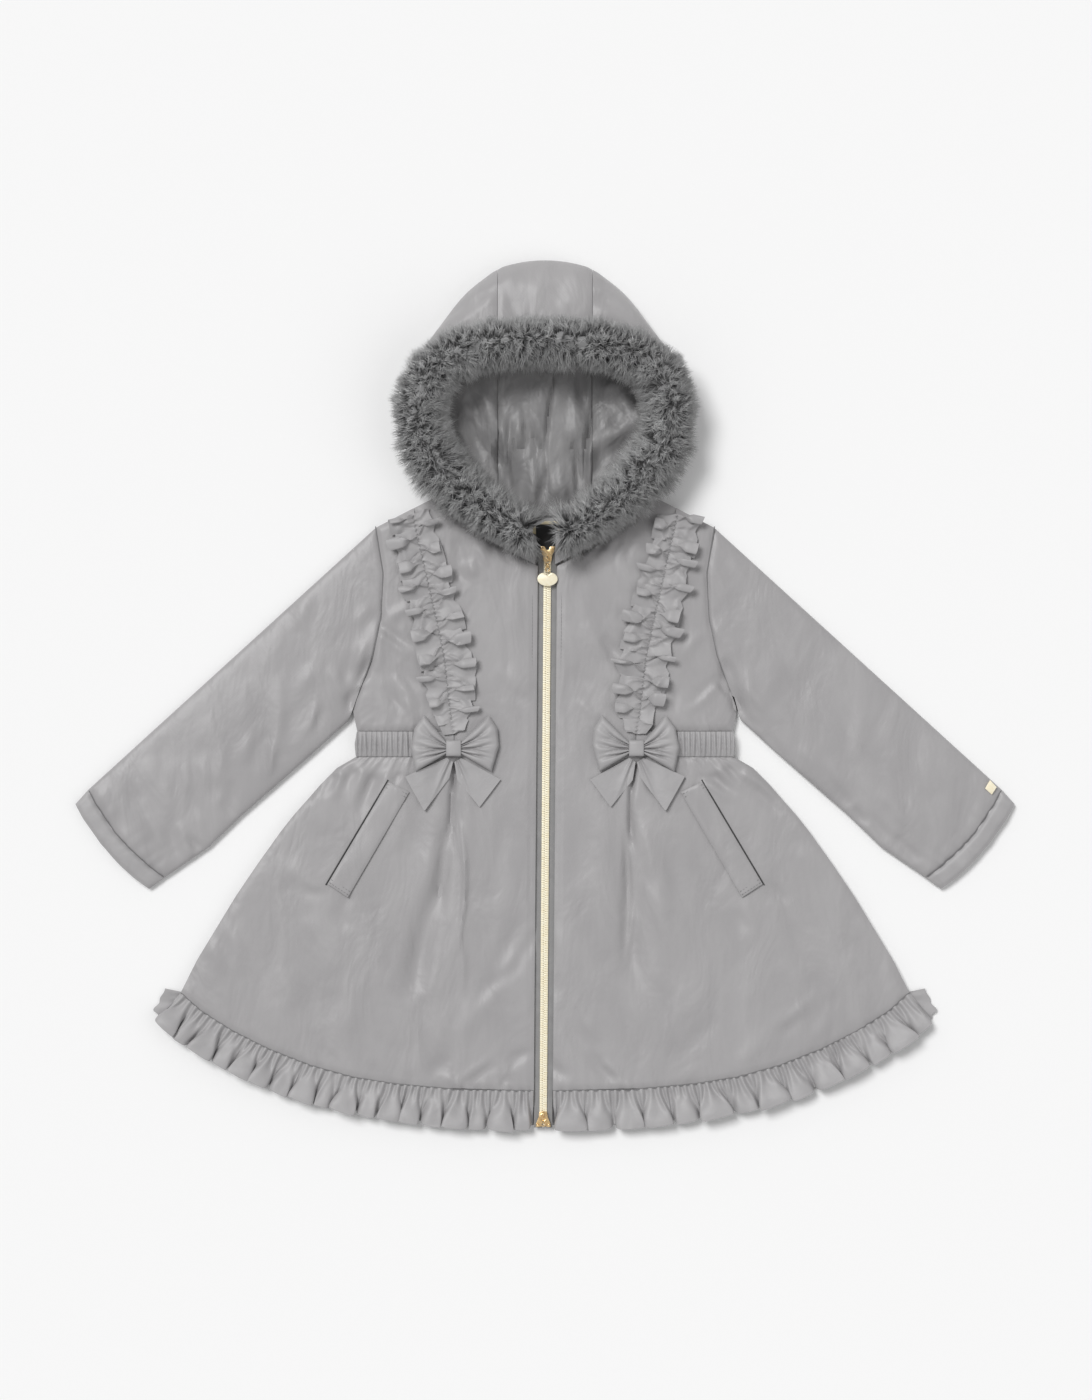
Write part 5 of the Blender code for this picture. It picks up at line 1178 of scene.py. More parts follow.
def bow_loop(side, end):
    """One loop of a bow, a flattened tube open at the knot."""
    upper = np.linspace(0, 1, count(28) + 1)
    band = np.concatenate((upper, upper[::-1][1:]))
    over = np.concatenate((np.ones(upper.size), np.zeros(upper.size - 1)))
    r, v = np.broadcast_arrays(band[None, :], np.linspace(1, -1, count(44) + 1)[:, None])
    top_layer = np.broadcast_arrays(over[None, :], v)[0]
    tip = np.stack((read(LOOP_ENDS, "across", v, end + "_x"), read(LOOP_ENDS, "across", v, end + "_y")), axis=-1)
    near = np.stack((5.6 * np.sign(tip[..., 0]), 4.4 * v), axis=-1)
    plan = mix(near, tip, r[..., None])
    pleats = sum(rise * bell(v - place * mix(0.8, 1, r) + 0.06 * np.sin(5 * r + 9 * place), 0.05 + 0.06 * r)
                 for place, rise in LOOP_PLEATS)
    fade = np.sin(math.pi * np.clip(mix(0.36, 0.93, r), 0, 1)) ** 1.3
    rim = np.sqrt(np.clip(1 - r ** 12, 0, 1))
    opened = ease(r, 0.0, 0.5)
    low = mix(2.6, 3.2, opened)
    hollow = mix(2.4, 5.0, opened) * rim
    edge = np.sqrt(np.clip(1 - np.abs(v) ** 10, 0, 1))
    height = np.where(top_layer > 0, low + 1.0 + (hollow * edge) + (0.9 - 3.4 * pleats) * fade * rim, low)
    x = BOW_CENTRE[0] - plan[..., 0]
    y = BOW_CENTRE[1] + plan[..., 1]
    base = float(top_front(np.float64(BOW_CENTRE[0]), np.float64(BOW_CENTRE[1])))
    shrink = np.clip(1 - 0.7 / np.maximum(np.hypot(plan[..., 0], plan[..., 1]), 1), 0.9, 1)
    inner_x = BOW_CENTRE[0] - plan[..., 0] * shrink
    inner_y = BOW_CENTRE[1] + plan[..., 1] * shrink
    height = np.where(top_layer > 0, np.maximum(height, low + 1.2), height)
    inner = np.where(top_layer > 0, np.maximum(height - 0.9, low + 0.55), low + 0.5)
    name = f"coat_bow_loop_{side_name(side)}_{end}"
    piece = cloth(name, placed(side * x, y, base + height), placed(side * inner_x, inner_y, base + inner), SATIN_FRILL)
    return piece


def bow_knot(side):
    angle, down_knot = np.meshgrid(np.linspace(0, 2 * math.pi, count(48) + 1), np.linspace(-1, 1, count(20) + 1),
                                   indexing="ij")
    angle, down_knot = angle.T, down_knot.T
    round_end = (1 - np.abs(down_knot) ** 6) ** 0.5 * 0.22 + 0.78
    base = float(top_front(np.float64(BOW_CENTRE[0]), np.float64(BOW_CENTRE[1])))

    def ring(half_y, half_z):
        y = np.sign(np.cos(angle)) * np.abs(np.cos(angle)) ** 0.45 * half_y * mix(1, round_end, 0.4)
        z = np.sign(np.sin(angle)) * np.abs(np.sin(angle)) ** 0.6 * half_z * round_end
        crease = 0.35 * np.sin(3 * down_knot + 1.5) * (np.sin(angle) > 0.5)
        return placed(side * (BOW_CENTRE[0] + 6.6 * down_knot), BOW_CENTRE[1] + y, base + 4.4 + z + crease)

    return cloth(f"coat_bow_knot_{side_name(side)}", ring(7.2, 4.4), ring(6.2, 3.4), SATIN_FRILL, closed=True)


def bow_tail(side, which):
    """A tail that widens to a slanting end with a point, folded lengthwise."""
    corners = TAILS[which]
    down_tail, over_tail = grid(count(44), count(36))
    far = {"x": corners["x"][1:4], "y": corners["y"][1:4]}
    start, end = (np.array((corners["x"][i], corners["y"][i])) for i in (0, 4))
    near = mix(start, end, over_tail[..., None])
    plan = mix(near, along(far, over_tail), down_tail[..., None])
    x = BOW_CENTRE[0] - plan[..., 0]
    y = BOW_CENTRE[1] + plan[..., 1]
    ridge = 1.5 * bell(over_tail - mix(0.45, 0.62, down_tail), 0.09 + 0.1 * down_tail) * (1 - 0.75 * down_tail)
    trough = -0.9 * bell(over_tail - mix(0.7, 0.8, down_tail), 0.07 + 0.06 * down_tail) * (1 - 0.6 * down_tail)
    curl = 0.8 * down_tail ** 2 * np.sin(math.pi * over_tail + 0.6)
    high = top_front(x, y) + 0.7 + 1.6 * ease(x, 92, 106) + ridge + trough + curl
    piece = cloth(f"coat_bow_tail_{which}_{side_name(side)}", placed(side * x, y, high + SATIN_WALL),
                  placed(side * x, y, high), SATIN_FRILL)
    return piece


for side in SIDES:
    label = side_name(side)
    outer, inner = bow_loop(side, "outer"), bow_loop(side, "inner")
    worn(outer, "shell", f"bow_loops_{label}")
    worn(inner, "shell", f"bow_loops_{label}")
    knot = worn(bow_knot(side), "shell", f"bow_knot_{label}")
    for which in ("outer", "inner"):
        tail = worn(bow_tail(side, which), "shell", f"bow_tail_{which}_{label}")
print("bows made")

# %% [markdown]
# ## The hood
# The hood lies open like a bowl. Its shell has a middle panel and two side panels, and the lining
# has the same three inside it. The sections of each are rounded curves through the frame's own
# points, and the lining is well creased, as it is light and loose.

# %% The hood
SHELL_WALL = 2.5
LINING_WALL = 1.2
FLOOR_STRETCH = 14.0


def hood_profile(start, outline, rim):
    """Points of one section, from its start along the ground, round the outline and up to the rim."""
    start, rim = np.array(start), np.array(rim)
    outline = np.array((*outline, 0.0))
    if start[2] > 0:
        return [mix(start, rim, step / 7) + np.array((0, 0, 1.5 * math.sin(math.pi * step / 7))) for step in range(8)]
    flat = outline - start
    away = flat / np.linalg.norm(flat)
    back = rim - outline
    ground = outline - away * FLOOR_STRETCH
    levels = ((outline - away * 4, 0.12), (outline, 0.42), (outline + back * 0.2, 0.78), (outline + back * 0.6, 0.96))
    points = [start, mix(start, ground, 0.5), ground]
    points += [np.array((place[0], place[1], rim[2] * share)) for place, share in levels]
    return points + [rim]


def hood_side_rows():
    return np.array([hood_profile(row[:3], row[3:5], row[5:]) for row in zip(*HOOD_SIDE.values())])


def hood_centre_rows():
    """Sections of the centre panel across the hood, from seam to seam."""
    last = hood_side_rows()[-1]
    seam = last[0][0] - SEAM
    floor_line = [(157.0, 0), (215, 0), (272, 0)] + [(point[1], point[2]) for point in last]
    rows = []
    for share in np.linspace(-1, 1, 9):
        crown = 7 * (1 - share * share)
        rows.append([(seam * share, y + crown * float(ease(y, 303, 371)), z) for y, z in floor_line])
    return np.array(rows)


def smooth_along(points, axis, factor):
    """More points along one axis of a grid, on soft curves through the first ones."""
    points = np.moveaxis(points, axis, 0)
    amount = points.shape[0]
    at = np.linspace(0, amount - 1, (amount - 1) * factor + 1)
    low = np.clip(np.floor(at).astype(int), 0, amount - 2)
    t = (at - low)[:, None, None]
    padded = np.concatenate((2 * points[:1] - points[1:2], points, 2 * points[-1:] - points[-2:-1]))
    p0, p1, p2, p3 = (padded[low + step] for step in range(4))
    curve = p1 + 0.5 * t * (p2 - p0 + t * (2 * p0 - 5 * p1 + 4 * p2 - p3 + t * (3 * (p1 - p2) + p3 - p0)))
    return np.moveaxis(curve, 0, axis)


def inward_normals(points, flip):
    down_lines = np.gradient(points, axis=0)
    out_lines = np.gradient(points, axis=1)
    normal = np.cross(out_lines, down_lines) * flip
    return normal / np.maximum(np.linalg.norm(normal, axis=2, keepdims=True), 1e-9)


def hood_panel(name, rows, flip, side, seams):
    """One panel of the shell, and the panel of the lining inside it."""
    factor = 6
    points = smooth_along(smooth_along(rows, 0, factor), 1, factor)
    points[..., 2] = np.clip(points[..., 2], 0, None)
    normal = inward_normals(points, flip)
    on_floor = points[..., 2] < 0.05
    normal[on_floor] = (0, 0, 1)
    for axis in (0, 1):
        normal = (normal + np.roll(normal, 1, axis=axis) + np.roll(normal, -1, axis=axis)) if False else normal
    for row in seams:
        normal[row, :, 0] = 0
    normal /= np.maximum(np.linalg.norm(normal, axis=2, keepdims=True), 1e-9)
    mirrored = points * np.array((side, 1, 1))
    facing = normal * np.array((side, 1, 1))
    x, y = mirrored[..., 0], mirrored[..., 1]
    roll = edge_roll(points, [("top", "bottom")[row] for row in seams], 1.3, 2.2)[..., None]
    outer_side = ease(points[..., 2], 14, 24)
    shell_folds = (crease_height(x, y, HOOD_CREASES) * outer_side)[..., None]
    outside = mirrored - facing * (shell_folds - roll * 0.8)
    inside = mirrored + facing * SHELL_WALL
    outside[..., 2] = np.clip(outside[..., 2], 0.02, None)
    shell = cloth(f"coat_hood_{name}", outside, inside, SATIN, sharp=60)
    near = SHELL_WALL + SEAM
    calm = ease(points[..., 2], 34, 22)
    loose = crease_height(x, y, LINING_CREASES) * ease(y, 120, 158)
    loose = loose + 0.9 * (1 + np.sin(0.09 * x + 0.05 * y)) * ease(y, 160, 200)
    lift = np.clip(1.6 * loose + 5.0, 0, 12)[..., None] * (0.25 + 0.75 * ease(y, 150, 185))[..., None]
    fade = np.clip(1 - 0.4 * ease(points[..., 2], 12, 28), 0, 1)[..., None]
    lining_low = mirrored + facing * near
    lining_high = mirrored + facing * (near + LINING_WALL + lift * fade - 0.9 * roll * (lift > 0.5))
    lining = cloth(f"coat_lining_{name}", lining_high, lining_low, LINING_WITH_PAINTED_SHADE, sharp=60)
    return shell, lining


for side in SIDES:
    label = side_name(side)
    shell, lining = hood_panel(label, hood_side_rows(), 1, side, [-1])
    worn(shell, "shell", f"hood_{label}")
    worn(lining, "lining", f"hood_lining_{label}")
shell, lining = hood_panel("centre", hood_centre_rows(), -1, 1, [0, -1])
worn(shell, "shell", "hood_centre")
worn(lining, "lining", "hood_lining_centre")
print("hood made")

# %% [markdown]
# ## The fur
# The fur is a thick tube round the hood's opening. A dark core stands for its backing, and tapered
# strands grow from it in small tufts. They bend outwards on both sides of the tube and their tips
# are paler than their roots.

# %% The fur
FUR_DEPTH = 13.0
CORE_SHARE = 0.56
STRAND_LENGTH = 15.0
STRANDS = 32500
FUR_PARTS = 4
TUFTS = 3400

half = list(zip(FUR["x"], FUR["y"], FUR["half"]))
fur_line = np.array([(-x, y, reach) for x, y, reach in half[:-1]] + half[::-1])
rims = np.column_stack((HOOD_SIDE["rim_x"], HOOD_SIDE["rim_y"]))
rim_gap = np.hypot(rims[:, 0][None, :] - np.abs(fur_line[:, :1]), rims[:, 1][None, :] - fur_line[:, 1:2])
nearest = np.argsort(rim_gap, axis=1)[:, :2]
weight = 1 / (np.take_along_axis(rim_gap, nearest, axis=1) + 0.01)
fur_floor = (HOOD_SIDE["rim_z"][nearest] * weight).sum(axis=1) / weight.sum(axis=1)
fur_floor = np.convolve(np.pad(fur_floor, 1, mode="edge"), (0.25, 0.5, 0.25), mode="valid")
fur_run = np.concatenate(([0], np.cumsum(np.hypot(np.diff(fur_line[:, 0]), np.diff(fur_line[:, 1])))))
FUR_LENGTH = float(fur_run[-1])


def fur_track(at):
    """Centre, half width and the direction across, at distances along the fur's line."""
    x, y, reach, low = (np.interp(at, fur_run, column) for column in (*fur_line.T, fur_floor))
    step = 4.0
    ahead = np.stack([np.interp(at + step, fur_run, fur_line[:, axis]) for axis in (0, 1)], axis=-1)
    behind = np.stack([np.interp(at - step, fur_run, fur_line[:, axis]) for axis in (0, 1)], axis=-1)
    course = ahead - behind
    course /= np.maximum(np.linalg.norm(course, axis=-1, keepdims=True), 1e-9)
    return x, y, reach, low, course


def fur_points(at, angle, share):
    """Points on a tube round the fur's line; share 1 is the reach of the strands' tips."""
    x, y, reach, low, course = fur_track(at)
    closing = 0.7 + 0.3 * np.sqrt(np.clip(np.minimum(at, FUR_LENGTH - at) / 12, 0, 1))
    across = np.cos(angle) * reach * share * closing
    height = low + 0.8 + FUR_DEPTH * (1 + np.sin(angle) * share * closing)
    return np.stack((x + course[..., 1] * across, y - course[..., 0] * across, height), axis=-1)


at, angle = np.meshgrid(np.linspace(0, FUR_LENGTH, count(100) + 1), np.linspace(0, 2 * math.pi, count(20) + 1),
                        indexing="ij")
core_outer = fur_points(at, angle, CORE_SHARE)
core_inner = fur_points(at, angle, CORE_SHARE * 0.8)
fur_core = cloth("fur_core", placed(*np.moveaxis(core_outer, -1, 0)), placed(*np.moveaxis(core_inner, -1, 0)), FUR_SHADE,
                 closed=True)
for label, value in (("tip", 0.34), ("tone", 0.4)):
    shades = fur_core.data.attributes.new(label, "FLOAT", "POINT")
    shades.data.foreach_set("value", np.full(len(fur_core.data.vertices), value, dtype=np.float32))
worn(fur_core, "fur", "fur_trim")

random = np.random.default_rng(7)
tuft_at = np.sort(random.uniform(0, FUR_LENGTH, TUFTS))
tuft_angle = random.uniform(-0.2 * math.pi, 1.2 * math.pi, TUFTS)
tuft_lean = random.normal(0, 0.34, (TUFTS, 2))
tuft_tone = random.uniform(0, 1, TUFTS)
tuft_comb = (1.9 * np.sin(0.043 * tuft_at) + 1.2 * np.sin(0.117 * tuft_at + 1) + 1.1 * np.sin(1.7 * tuft_angle)
             + random.normal(0, 0.4, TUFTS))
chosen = random.integers(0, TUFTS, STRANDS)
strand_at = np.clip(tuft_at[chosen] + random.normal(0, 1.9, STRANDS), 0.2, FUR_LENGTH - 0.2)
strand_angle = tuft_angle[chosen] + random.normal(0, 0.15, STRANDS)
root = fur_points(strand_at, strand_angle, CORE_SHARE * 0.97)
tuft_tip = fur_points(tuft_at[chosen], tuft_angle[chosen], 1.0)
own_tip = fur_points(strand_at, strand_angle, 1.0)
aim = mix(own_tip, tuft_tip, 0.72) - root
aim /= np.linalg.norm(aim, axis=1, keepdims=True)
course = fur_track(strand_at)[4]
course3 = np.column_stack((course, np.zeros(STRANDS)))
across3 = np.column_stack((course[:, 1], -course[:, 0], np.zeros(STRANDS)))
to_end = np.clip(1 - np.minimum(strand_at, FUR_LENGTH - strand_at) / 12, 0, 1)
ends = to_end * np.where(strand_at < FUR_LENGTH / 2, -1, 1)
sway = tuft_lean[chosen] + random.normal(0, 0.1, (STRANDS, 2))
comb = tuft_comb[chosen][:, None]
on_top = np.clip(np.sin(strand_angle), 0, 1)[:, None]
aim = aim + 0.34 * on_top * (np.cos(comb) * across3 + np.sin(comb) * course3)
aim = aim + 0.22 * np.cos(strand_angle)[:, None] * across3
aim = aim + course3 * (sway[:, :1] + 0.9 * ends[:, None])
aim[:, 2] += sway[:, 1] * 0.7 - 0.25 * on_top[:, 0]
aim /= np.linalg.norm(aim, axis=1, keepdims=True)
inner_side = np.clip(np.cos(strand_angle), 0, 1)
length = STRAND_LENGTH * random.uniform(0.66, 1.0, STRANDS) * (0.9 + 0.1 * np.sin(tuft_at[chosen] * 0.21))
length *= mix(0.75, 1.0, np.clip(fur_track(strand_at)[2] / 24, 0, 1)) * np.where(strand_angle < 0, 0.85, 1)
low_outer = np.clip(-np.cos(strand_angle), 0, 1) * ease(root[:, 1], 232, 196)
length *= 1 + 0.5 * inner_side + 0.6 * to_end + 0.6 * low_outer
side_axis = np.cross(aim, np.array((0.0, 0.0, 1.0)))
side_axis /= np.maximum(np.linalg.norm(side_axis, axis=1, keepdims=True), 1e-6)
up_axis = np.cross(side_axis, aim)
bend = random.normal(0, 0.14, (STRANDS, 1)) * side_axis + random.normal(-0.12, 0.1, (STRANDS, 1)) * up_axis
LEVELS = ((0.0, 0.31), (0.5, 0.25))
corners = np.array([(math.cos(2 * math.pi * k / 3), math.sin(2 * math.pi * k / 3)) for k in range(3)])
rings = []
for level, radius in LEVELS:
    centre = root + (aim * level + bend * level ** 2) * length[:, None]
    for cosine, sine in corners:
        rings.append(centre + (side_axis * cosine + up_axis * sine) * radius)
rings.append(root + (aim + bend) * length[:, None])
strand_points = np.stack(rings, axis=1)
strand_points = placed(*np.moveaxis(strand_points, -1, 0)) * MM
FACES = ((0, 2, 1), (0, 1, 4), (0, 4, 3), (1, 2, 5), (1, 5, 4), (2, 0, 3), (2, 3, 5), (3, 4, 6), (4, 5, 6), (5, 3, 6))
TIP_OF = np.array((0, 0, 0, 0.5, 0.5, 0.5, 1.0))
tone = np.clip(tuft_tone[chosen] * 0.6 + random.uniform(0, 0.4, STRANDS), 0, 1)
part_of = np.minimum((strand_at / FUR_LENGTH * FUR_PARTS).astype(int), FUR_PARTS - 1)
fur_parts = []
for part in range(FUR_PARTS):
    points = strand_points[part_of == part]
    amount = points.shape[0]
    data = bpy.data.meshes.new(f"fur_strands_{part + 1}")
    triangles = (np.array(FACES)[None] + 7 * np.arange(amount)[:, None, None]).reshape(-1)
    data.vertices.add(amount * 7)
    data.vertices.foreach_set("co", points.reshape(-1))
    data.loops.add(triangles.size)
    data.loops.foreach_set("vertex_index", triangles.astype(np.int32))
    data.polygons.add(triangles.size // 3)
    data.polygons.foreach_set("loop_start", np.arange(0, triangles.size, 3, dtype=np.int32))
    data.update(calc_edges=True)
    data.attributes.new("tip", "FLOAT", "POINT").data.foreach_set("value", np.tile(TIP_OF, amount).astype(np.float32))
    data.attributes.new("tone", "FLOAT", "POINT").data.foreach_set(
        "value", np.repeat(tone[part_of == part], 7).astype(np.float32))
    data.shade_smooth()
    data.materials.append(FUR_SHADE)
    tuft_piece = bpy.data.objects.new(f"fur_strands_{part + 1}", data)
    scene.collection.objects.link(tuft_piece)
    worn(tuft_piece, "fur")
    fur_parts.append(tuft_piece)
print("fur strands:", STRANDS, "in", FUR_PARTS, "pieces")

# %% [markdown]
# ## The zip
# The teeth are small moulded blocks in two rows that mesh along the middle, on woven tapes. At the
# neck the slider has a wide top, an arch, a ring with a bead and a plain charm with two lobes. The
# slider at the hem has a short pull.

# %% The zip
TEETH_TOP = 126.5
TEETH_END = -373.5
TOOTH_PITCH = 2.0
TOOTH_OUTLINE = ((-0.35, -0.6), (1.4, -0.92), (3.2, -0.92), (3.2, 0.92), (1.4, 0.92), (-0.35, 0.6))


def prism(shape, outline, low, high, bevel=0.0):
    """Adds an upright prism, with its upper edges bevelled, to a bmesh in millimetres."""
    face = shape.faces.new([shape.verts.new((x, y, low)) for x, y in outline])
    grown = bmesh.ops.extrude_face_region(shape, geom=[face], use_keep_orig=True)
    lifted = [item for item in grown["geom"] if isinstance(item, bmesh.types.BMVert)]
    bmesh.ops.translate(shape, verts=lifted, vec=(0, 0, high - low))
    if bevel:
        lids = [item for item in grown["geom"] if isinstance(item, bmesh.types.BMFace)]
        edges = [edge for lid in lids for edge in lid.edges]
        bmesh.ops.bevel(shape, geom=edges, offset=bevel, segments=2, affect="EDGES", profile=0.6)


def hard(name, shape, shade, sharp=35):
    """A named hard piece from a bmesh in millimetres."""
    bmesh.ops.recalc_face_normals(shape, faces=shape.faces)
    bmesh.ops.scale(shape, vec=(MM, MM, MM), verts=shape.verts)
    return shown(name, shape, shade, sharp)


def zip_x(y):
    return float(read(LEAN, "y", y, "x"))


teeth = bmesh.new()
amount = int((TEETH_TOP - TEETH_END) / TOOTH_PITCH)
for number in range(amount):
    for side in SIDES:
        y = TEETH_TOP - TOOTH_PITCH * (number + (0.5 if side > 0 else 0))
        outline = [(zip_x(y) + side * px, y + py) for px, py in TOOTH_OUTLINE]
        prism(teeth, outline[::side], 6.4, 8.9, 0.25)
zip_teeth = worn(hard("zip_teeth", teeth, PALE_GOLD), "zip_metal", "zip_chain")

down, across = grid(count(250), 6)
for side in SIDES:
    y = mix(129, -375.5, down)
    wide = np.where((y < 109.5) & (y > -341.5), 14.0, 8.0)
    x = mix(1.0, wide, across)
    ridge = 0.35 * bell(x - 4.2, 0.7)
    tape = cloth(f"zip_tape_{side_name(side)}_woven", placed(side * x, y, 7.1 + ridge), placed(side * x, y, 6.3 + 0 * x), TAPE)
    worn(tape, "zip_tape", f"zip_tape_{side_name(side)}")


def ring_piece(shape, centre, radius, thick, squeeze=1.0, segments=28, sides=10, upright=False):
    """Adds a ring of round wire to a bmesh; squeeze shortens it along the zip."""
    x0, y0, z0 = centre
    loops = []
    for step in range(segments):
        turn = 2 * math.pi * step / segments
        loop = []
        for corner in range(sides):
            twist = 2 * math.pi * corner / sides
            out = radius + thick * math.cos(twist)
            flat = (math.cos(turn) * out, math.sin(turn) * out * squeeze, thick * math.sin(twist))
            if upright:
                flat = (flat[2], flat[1], flat[0])
            loop.append(shape.verts.new((x0 + flat[0], y0 + flat[1], z0 + flat[2])))
        loops.append(loop)
    for step in range(segments):
        first, second = loops[step], loops[(step + 1) % segments]
        for corner in range(sides):
            following = (corner + 1) % sides
            shape.faces.new((first[corner], second[corner], second[following], first[following]))


def slider(name, middle_y, up):
    """A slider: a plate that widens to two cheeks, with an arch over it."""
    x0 = zip_x(middle_y)
    shape = bmesh.new()
    plate = ((3.3, -6.4), (3.9, -2.2), (5.4, 1.6), (6.4, 4.2), (6.4, 6.5), (4.4, 6.8), (2.2, 6.2), (1.0, 3.4))
    outline = [(x0 + x, middle_y + up * y) for x, y in plate] + [(x0 - x, middle_y + up * y) for x, y in reversed(plate)]
    prism(shape, outline[::up], 9.1, 10.7, 0.45)
    hinge = 119.5 if up > 0 else -363.5
    ring_piece(shape, (x0, hinge, 10.9), 2.2, 0.62, upright=True)
    for cheek in (-1, 1):
        bead = bmesh.ops.create_uvsphere(shape, u_segments=14, v_segments=8, radius=1.5)
        bmesh.ops.translate(shape, verts=bead["verts"], vec=(x0 + cheek * 4.9, middle_y + up * 4.9, 10.5))
    return hard(name, shape, WARM_GOLD)


worn(slider("slider_top", 123.5, 1), "zip_metal", "zip_slider_top")
worn(slider("slider_bottom", -368.0, -1), "zip_metal", "zip_slider_bottom")

PULL_Z = 11.7
hinge_x = zip_x(119.5)
link = bmesh.new()
ring_piece(link, (hinge_x, 117.2, PULL_Z), 2.3, 0.5, squeeze=1.15)
ring_piece(link, (hinge_x, 110.4, PULL_Z), 1.9, 0.5, squeeze=1.1)
bead = bmesh.ops.create_uvsphere(link, u_segments=18, v_segments=12, radius=1.75)
bmesh.ops.translate(link, verts=bead["verts"], vec=(hinge_x, 113.6, PULL_Z))
worn(hard("pull_ring", link, WARM_GOLD), "zip_metal", "pull_link", body="top_link")

CHARM_WIDTH = 17.6
CHARM_LENGTH = 12.4
CHARM_TOP = 107.9
charm_outline = []
for step in range(72):
    angle = 2 * math.pi * step / 72
    x = CHARM_WIDTH / 2 * math.sin(angle)
    lobe = 1 - 0.52 * math.exp(-(x / (0.14 * CHARM_WIDTH)) ** 2) * (math.cos(angle) > 0)
    y = CHARM_LENGTH / 2 * math.cos(angle) * (lobe if math.cos(angle) > 0 else 1.0)
    charm_outline.append((hinge_x + x, CHARM_TOP + y - CHARM_LENGTH / 2))
charm = bmesh.new()
prism(charm, charm_outline[::-1], 11.8, 13.2, 0.45)
ring_piece(charm, (hinge_x, 109.0, PULL_Z), 1.35, 0.42, upright=True)
worn(hard("charm", charm, PALE_GOLD), "zip_metal", "pull_charm", body="top_charm")

low_x = zip_x(-363.5)
low_pull = bmesh.new()
ring_piece(low_pull, (low_x, -366.3, PULL_Z), 2.7, 0.55, squeeze=1.25)
ring_piece(low_pull, (low_x, -371.6, PULL_Z), 2.2, 0.55, squeeze=1.0)
worn(hard("bottom_pull_ring", low_pull, WARM_GOLD), "zip_metal", "bottom_pull", body="bottom_tab")
print("zip made:", 2 * amount, "teeth")

# %% [markdown]
# ## Small trims and sewing
# A plain plate is fixed above the right cuff, and a plain label is sewn inside the neck. Stitches
# run along the placket, down the middle of the ruffle strips and across the ends of the welts.
# Dark strips of painted shade lie inside the neck below the label, in the pocket openings and in
# the hollows of the armhole, cuff and hem seams.

# %% Trims and sewing
plate = bmesh.new()
plate_outline = [(382.6, -80.4), (386.9, -73.1), (392.7, -79.3), (388.5, -85.8)]
prism(plate, plate_outline, 9.3, 10.3, 0.3)
worn(hard("plain_cuff_plate", plate, PALE_GOLD), "zip_metal", "cuff_plate")
label_shape = bmesh.new()
prism(label_shape, [(-14, 152.5), (-14, 141), (14, 141), (14, 152.5)], 4.6, 5.2, 0.2)
worn(hard("plain_neck_label", label_shape, LABEL), "label", "neck_label")


# Painted shade: a near-black patch inside the neck, below the label and between the fur's ends.
down, across = grid(12, 16)
x = mix(-9.5, 9.5, across)
y = mix(149.5, 126.5, down)
facing = cloth("neck_painted_shade", placed(x, y, 5.7 + 0.8 * bell(x, 4)), placed(x, y, 5.3 + 0 * x), PAINTED_SHADE_CLOTH)
worn(facing, "lining")


def thread_and_shade_blocks(name, centres, directions, length, thick, shade, slot="shell"):
    """A row of small bevelled blocks, one at each centre and turned to its direction, used for short threads and for
    strips of painted shade.
    """
    shape = bmesh.new()
    for (x, y, z), angle in zip(centres, directions):
        block = bmesh.ops.create_cube(shape, size=1.0)["verts"]
        bmesh.ops.scale(shape, verts=block, vec=(length, thick, thick * 0.8))
        matrix = ((math.cos(angle), -math.sin(angle)), (math.sin(angle), math.cos(angle)))
        for vertex in block:
            px, py = vertex.co.x, vertex.co.y
            vertex.co = (matrix[0][0] * px + matrix[0][1] * py + x, matrix[1][0] * px + matrix[1][1] * py + y,
                         vertex.co.z + z)
    piece = hard(name, shape, shade)
    worn(piece, slot)
    return piece


def upper_height(x, y, side):
    """The height of a front's upper face where only its creases shape it."""
    return top_front(x, y) + crease_height(x, y, CREASES) + crease_height(x, y, PLEAT_RIDGES[side])


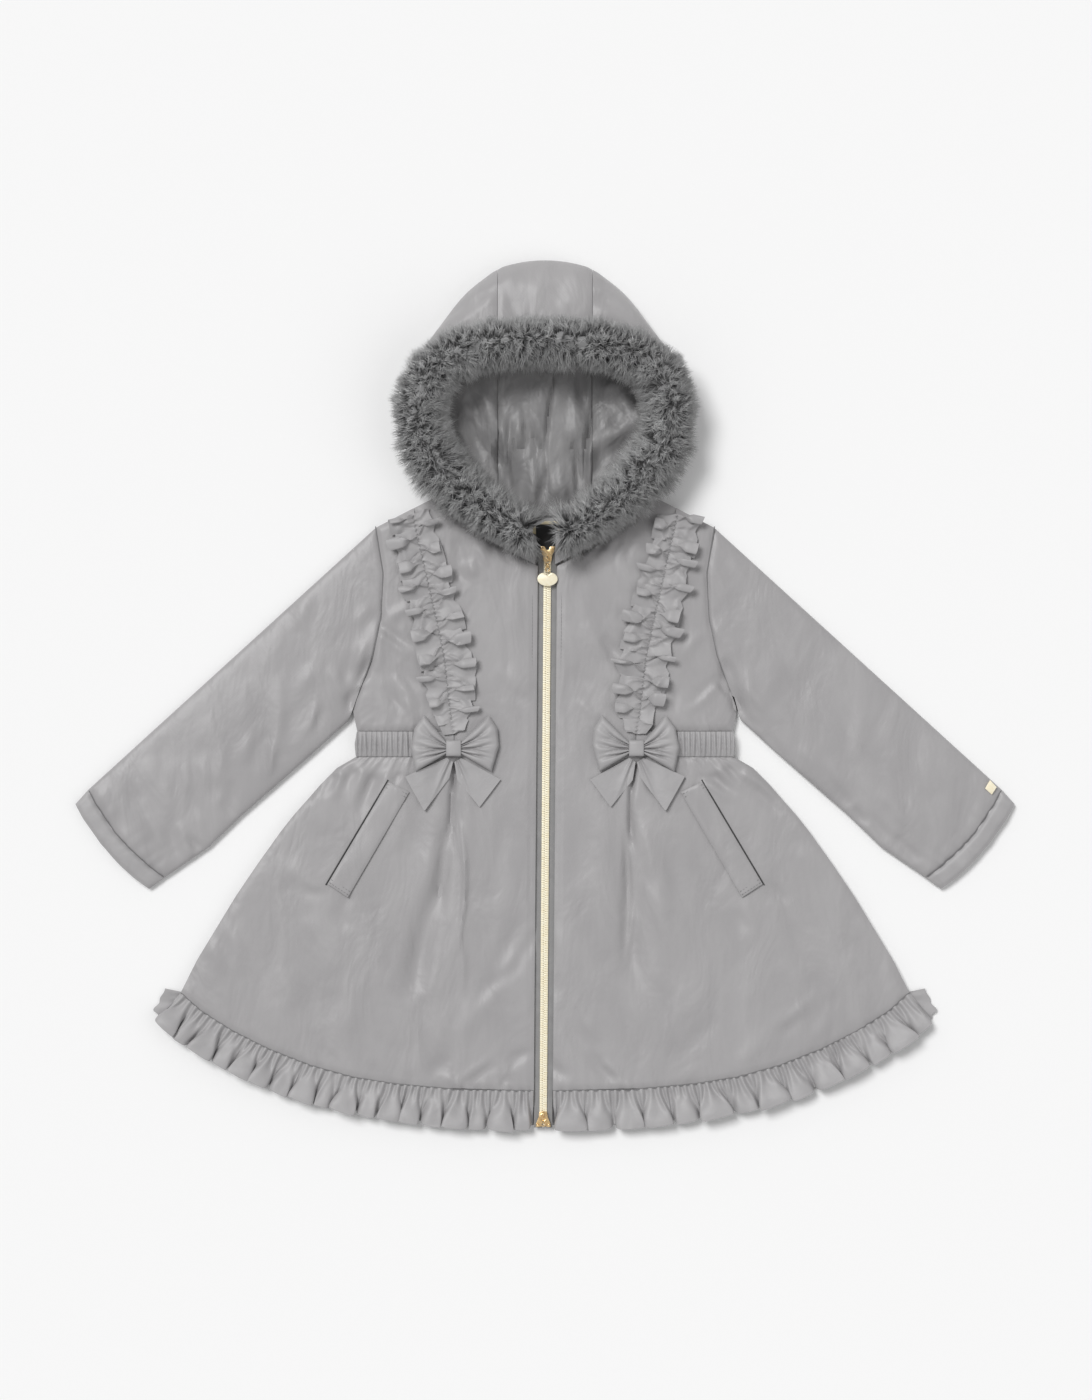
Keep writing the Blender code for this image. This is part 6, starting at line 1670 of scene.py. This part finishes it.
for side in SIDES:
    ys = np.arange(108.0, -340.0, -3.1)
    xs = np.full_like(ys, side * 12.6)
    zs = upper_height(xs, ys, side) - 0.95
    points = placed(xs, ys, zs)
    thread_and_shade_blocks(f"placket_stitches_{side_name(side)}", points, np.full(ys.size, math.pi / 2), 2.2, 0.32, THREAD_AND_SEAM_SHADE)
    t = np.linspace(0.01, 0.93, 92)
    ys = mix(STRIP["y"][0], STRIP["y"][-1], t)
    wiggle = 0.9 * np.where(np.arange(t.size) % 2, 1, -1)
    xs = side * (read(STRIP, "y", ys, "x") + wiggle * 0.4)
    points = placed(xs, ys, top_front(xs, ys) + 1.9 + 0 * xs)
    angles = math.pi / 2 - side * 0.16 + 0.7 * wiggle
    thread_and_shade_blocks(f"strip_stitches_{side_name(side)}", points, angles, 2.0, 0.35, THREAD_AND_SEAM_SHADE)
    # Painted shade: a near-black strip just outside each welt's outer edge, in the pocket opening.
    t = np.linspace(0.0, 1.0, 44)
    edge = along(WELT_OUTER, t)
    run = edge[-1] - edge[0]
    turn = math.atan2(run[1], side * run[0])
    opening = edge + 0.9 * np.array((-run[1], run[0])) / np.linalg.norm(run)
    xs, ys = side * opening[:, 0], opening[:, 1]
    points = placed(xs, ys, upper_height(xs, ys, side) + 0.35)
    thread_and_shade_blocks(f"pocket_opening_shade_{side_name(side)}", points, np.full(t.size, turn), 3.2, 1.1, PAINTED_SHADE_CLOTH)
    points, angles = [], []
    for place in (0.02, 0.05, 0.95, 0.98):
        for over in np.linspace(0.08, 0.92, 7):
            first, last = along(WELT_OUTER, np.array([place]))[0], along(WELT_INNER, np.array([place]))[0]
            x, y = mix(first, last, over)
            points.append(placed(np.float64(side * x), np.float64(y), top_front(x, y) + 3.0))
            angles.append(math.atan2(last[1] - first[1], side * (last[0] - first[0])))
    thread_and_shade_blocks(f"welt_stitches_{side_name(side)}", points, angles, 1.7, 0.34, THREAD_AND_SEAM_SHADE)


def seam_shade_line(name, points, beside, piece):
    """A strip of painted shade in the hollow of a seam, a little under the cloth that lies beside it."""
    points, beside = np.array(points), np.array(beside)
    spots = []
    for (x, y), (near_x, near_y) in zip(points, beside):
        found, spot, _, _ = piece.ray_cast((near_x * MM, near_y * MM, 0.2), (0, 0, -1))
        spots.append((x, y, (spot[2] / MM if found else 7.0) - 0.5))
    course = np.gradient(points, axis=0)
    thread_and_shade_blocks(name, spots, np.arctan2(course[:, 1], course[:, 0]), 3.4, 0.95, THREAD_AND_SEAM_SHADE)


bpy.context.view_layer.update()
share = np.linspace(0.005, 0.995, 110)
# Painted shade: dark strips in the hollows of the armhole, cuff and hem seams.
for side in SIDES:
    label = side_name(side)
    mirror = np.array((side, 1))
    line = along(ARMHOLE, share) * mirror
    seam_shade_line(f"armhole_seam_shade_{label}", line, line - np.array((side * 1.6, 0)), bpy.data.objects[f"coat_side_{label}"])
    line = (along(CUFF_SEAM, share[3:-3]) + CUFF_SHIFT / 2) * mirror
    seam_shade_line(f"cuff_seam_shade_{label}", line, line - CUFF_SHIFT * mirror * 4, bpy.data.objects[f"coat_sleeve_{label}"])
    line = placed(*(along(HEM, share) * mirror).T, 0)[:, :2] - np.array((0, 0.3))
    seam_shade_line(f"hem_seam_shade_{label}", line, line + np.array((0, 1.6)), bpy.data.objects[f"coat_front_{label}"])
print("trims and sewing made")

# %% [markdown]
# ## The end
# The size of the dressed coat is printed beside that of its solids.

# %% The end
seen_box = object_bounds()
sizes = {"cad": [list(corner) for corner in solid_box], "visual": [list(corner) for corner in seen_box]}
for label, box in sizes.items():
    print(label, "box:", [[round(value, 4) for value in corner] for corner in box])
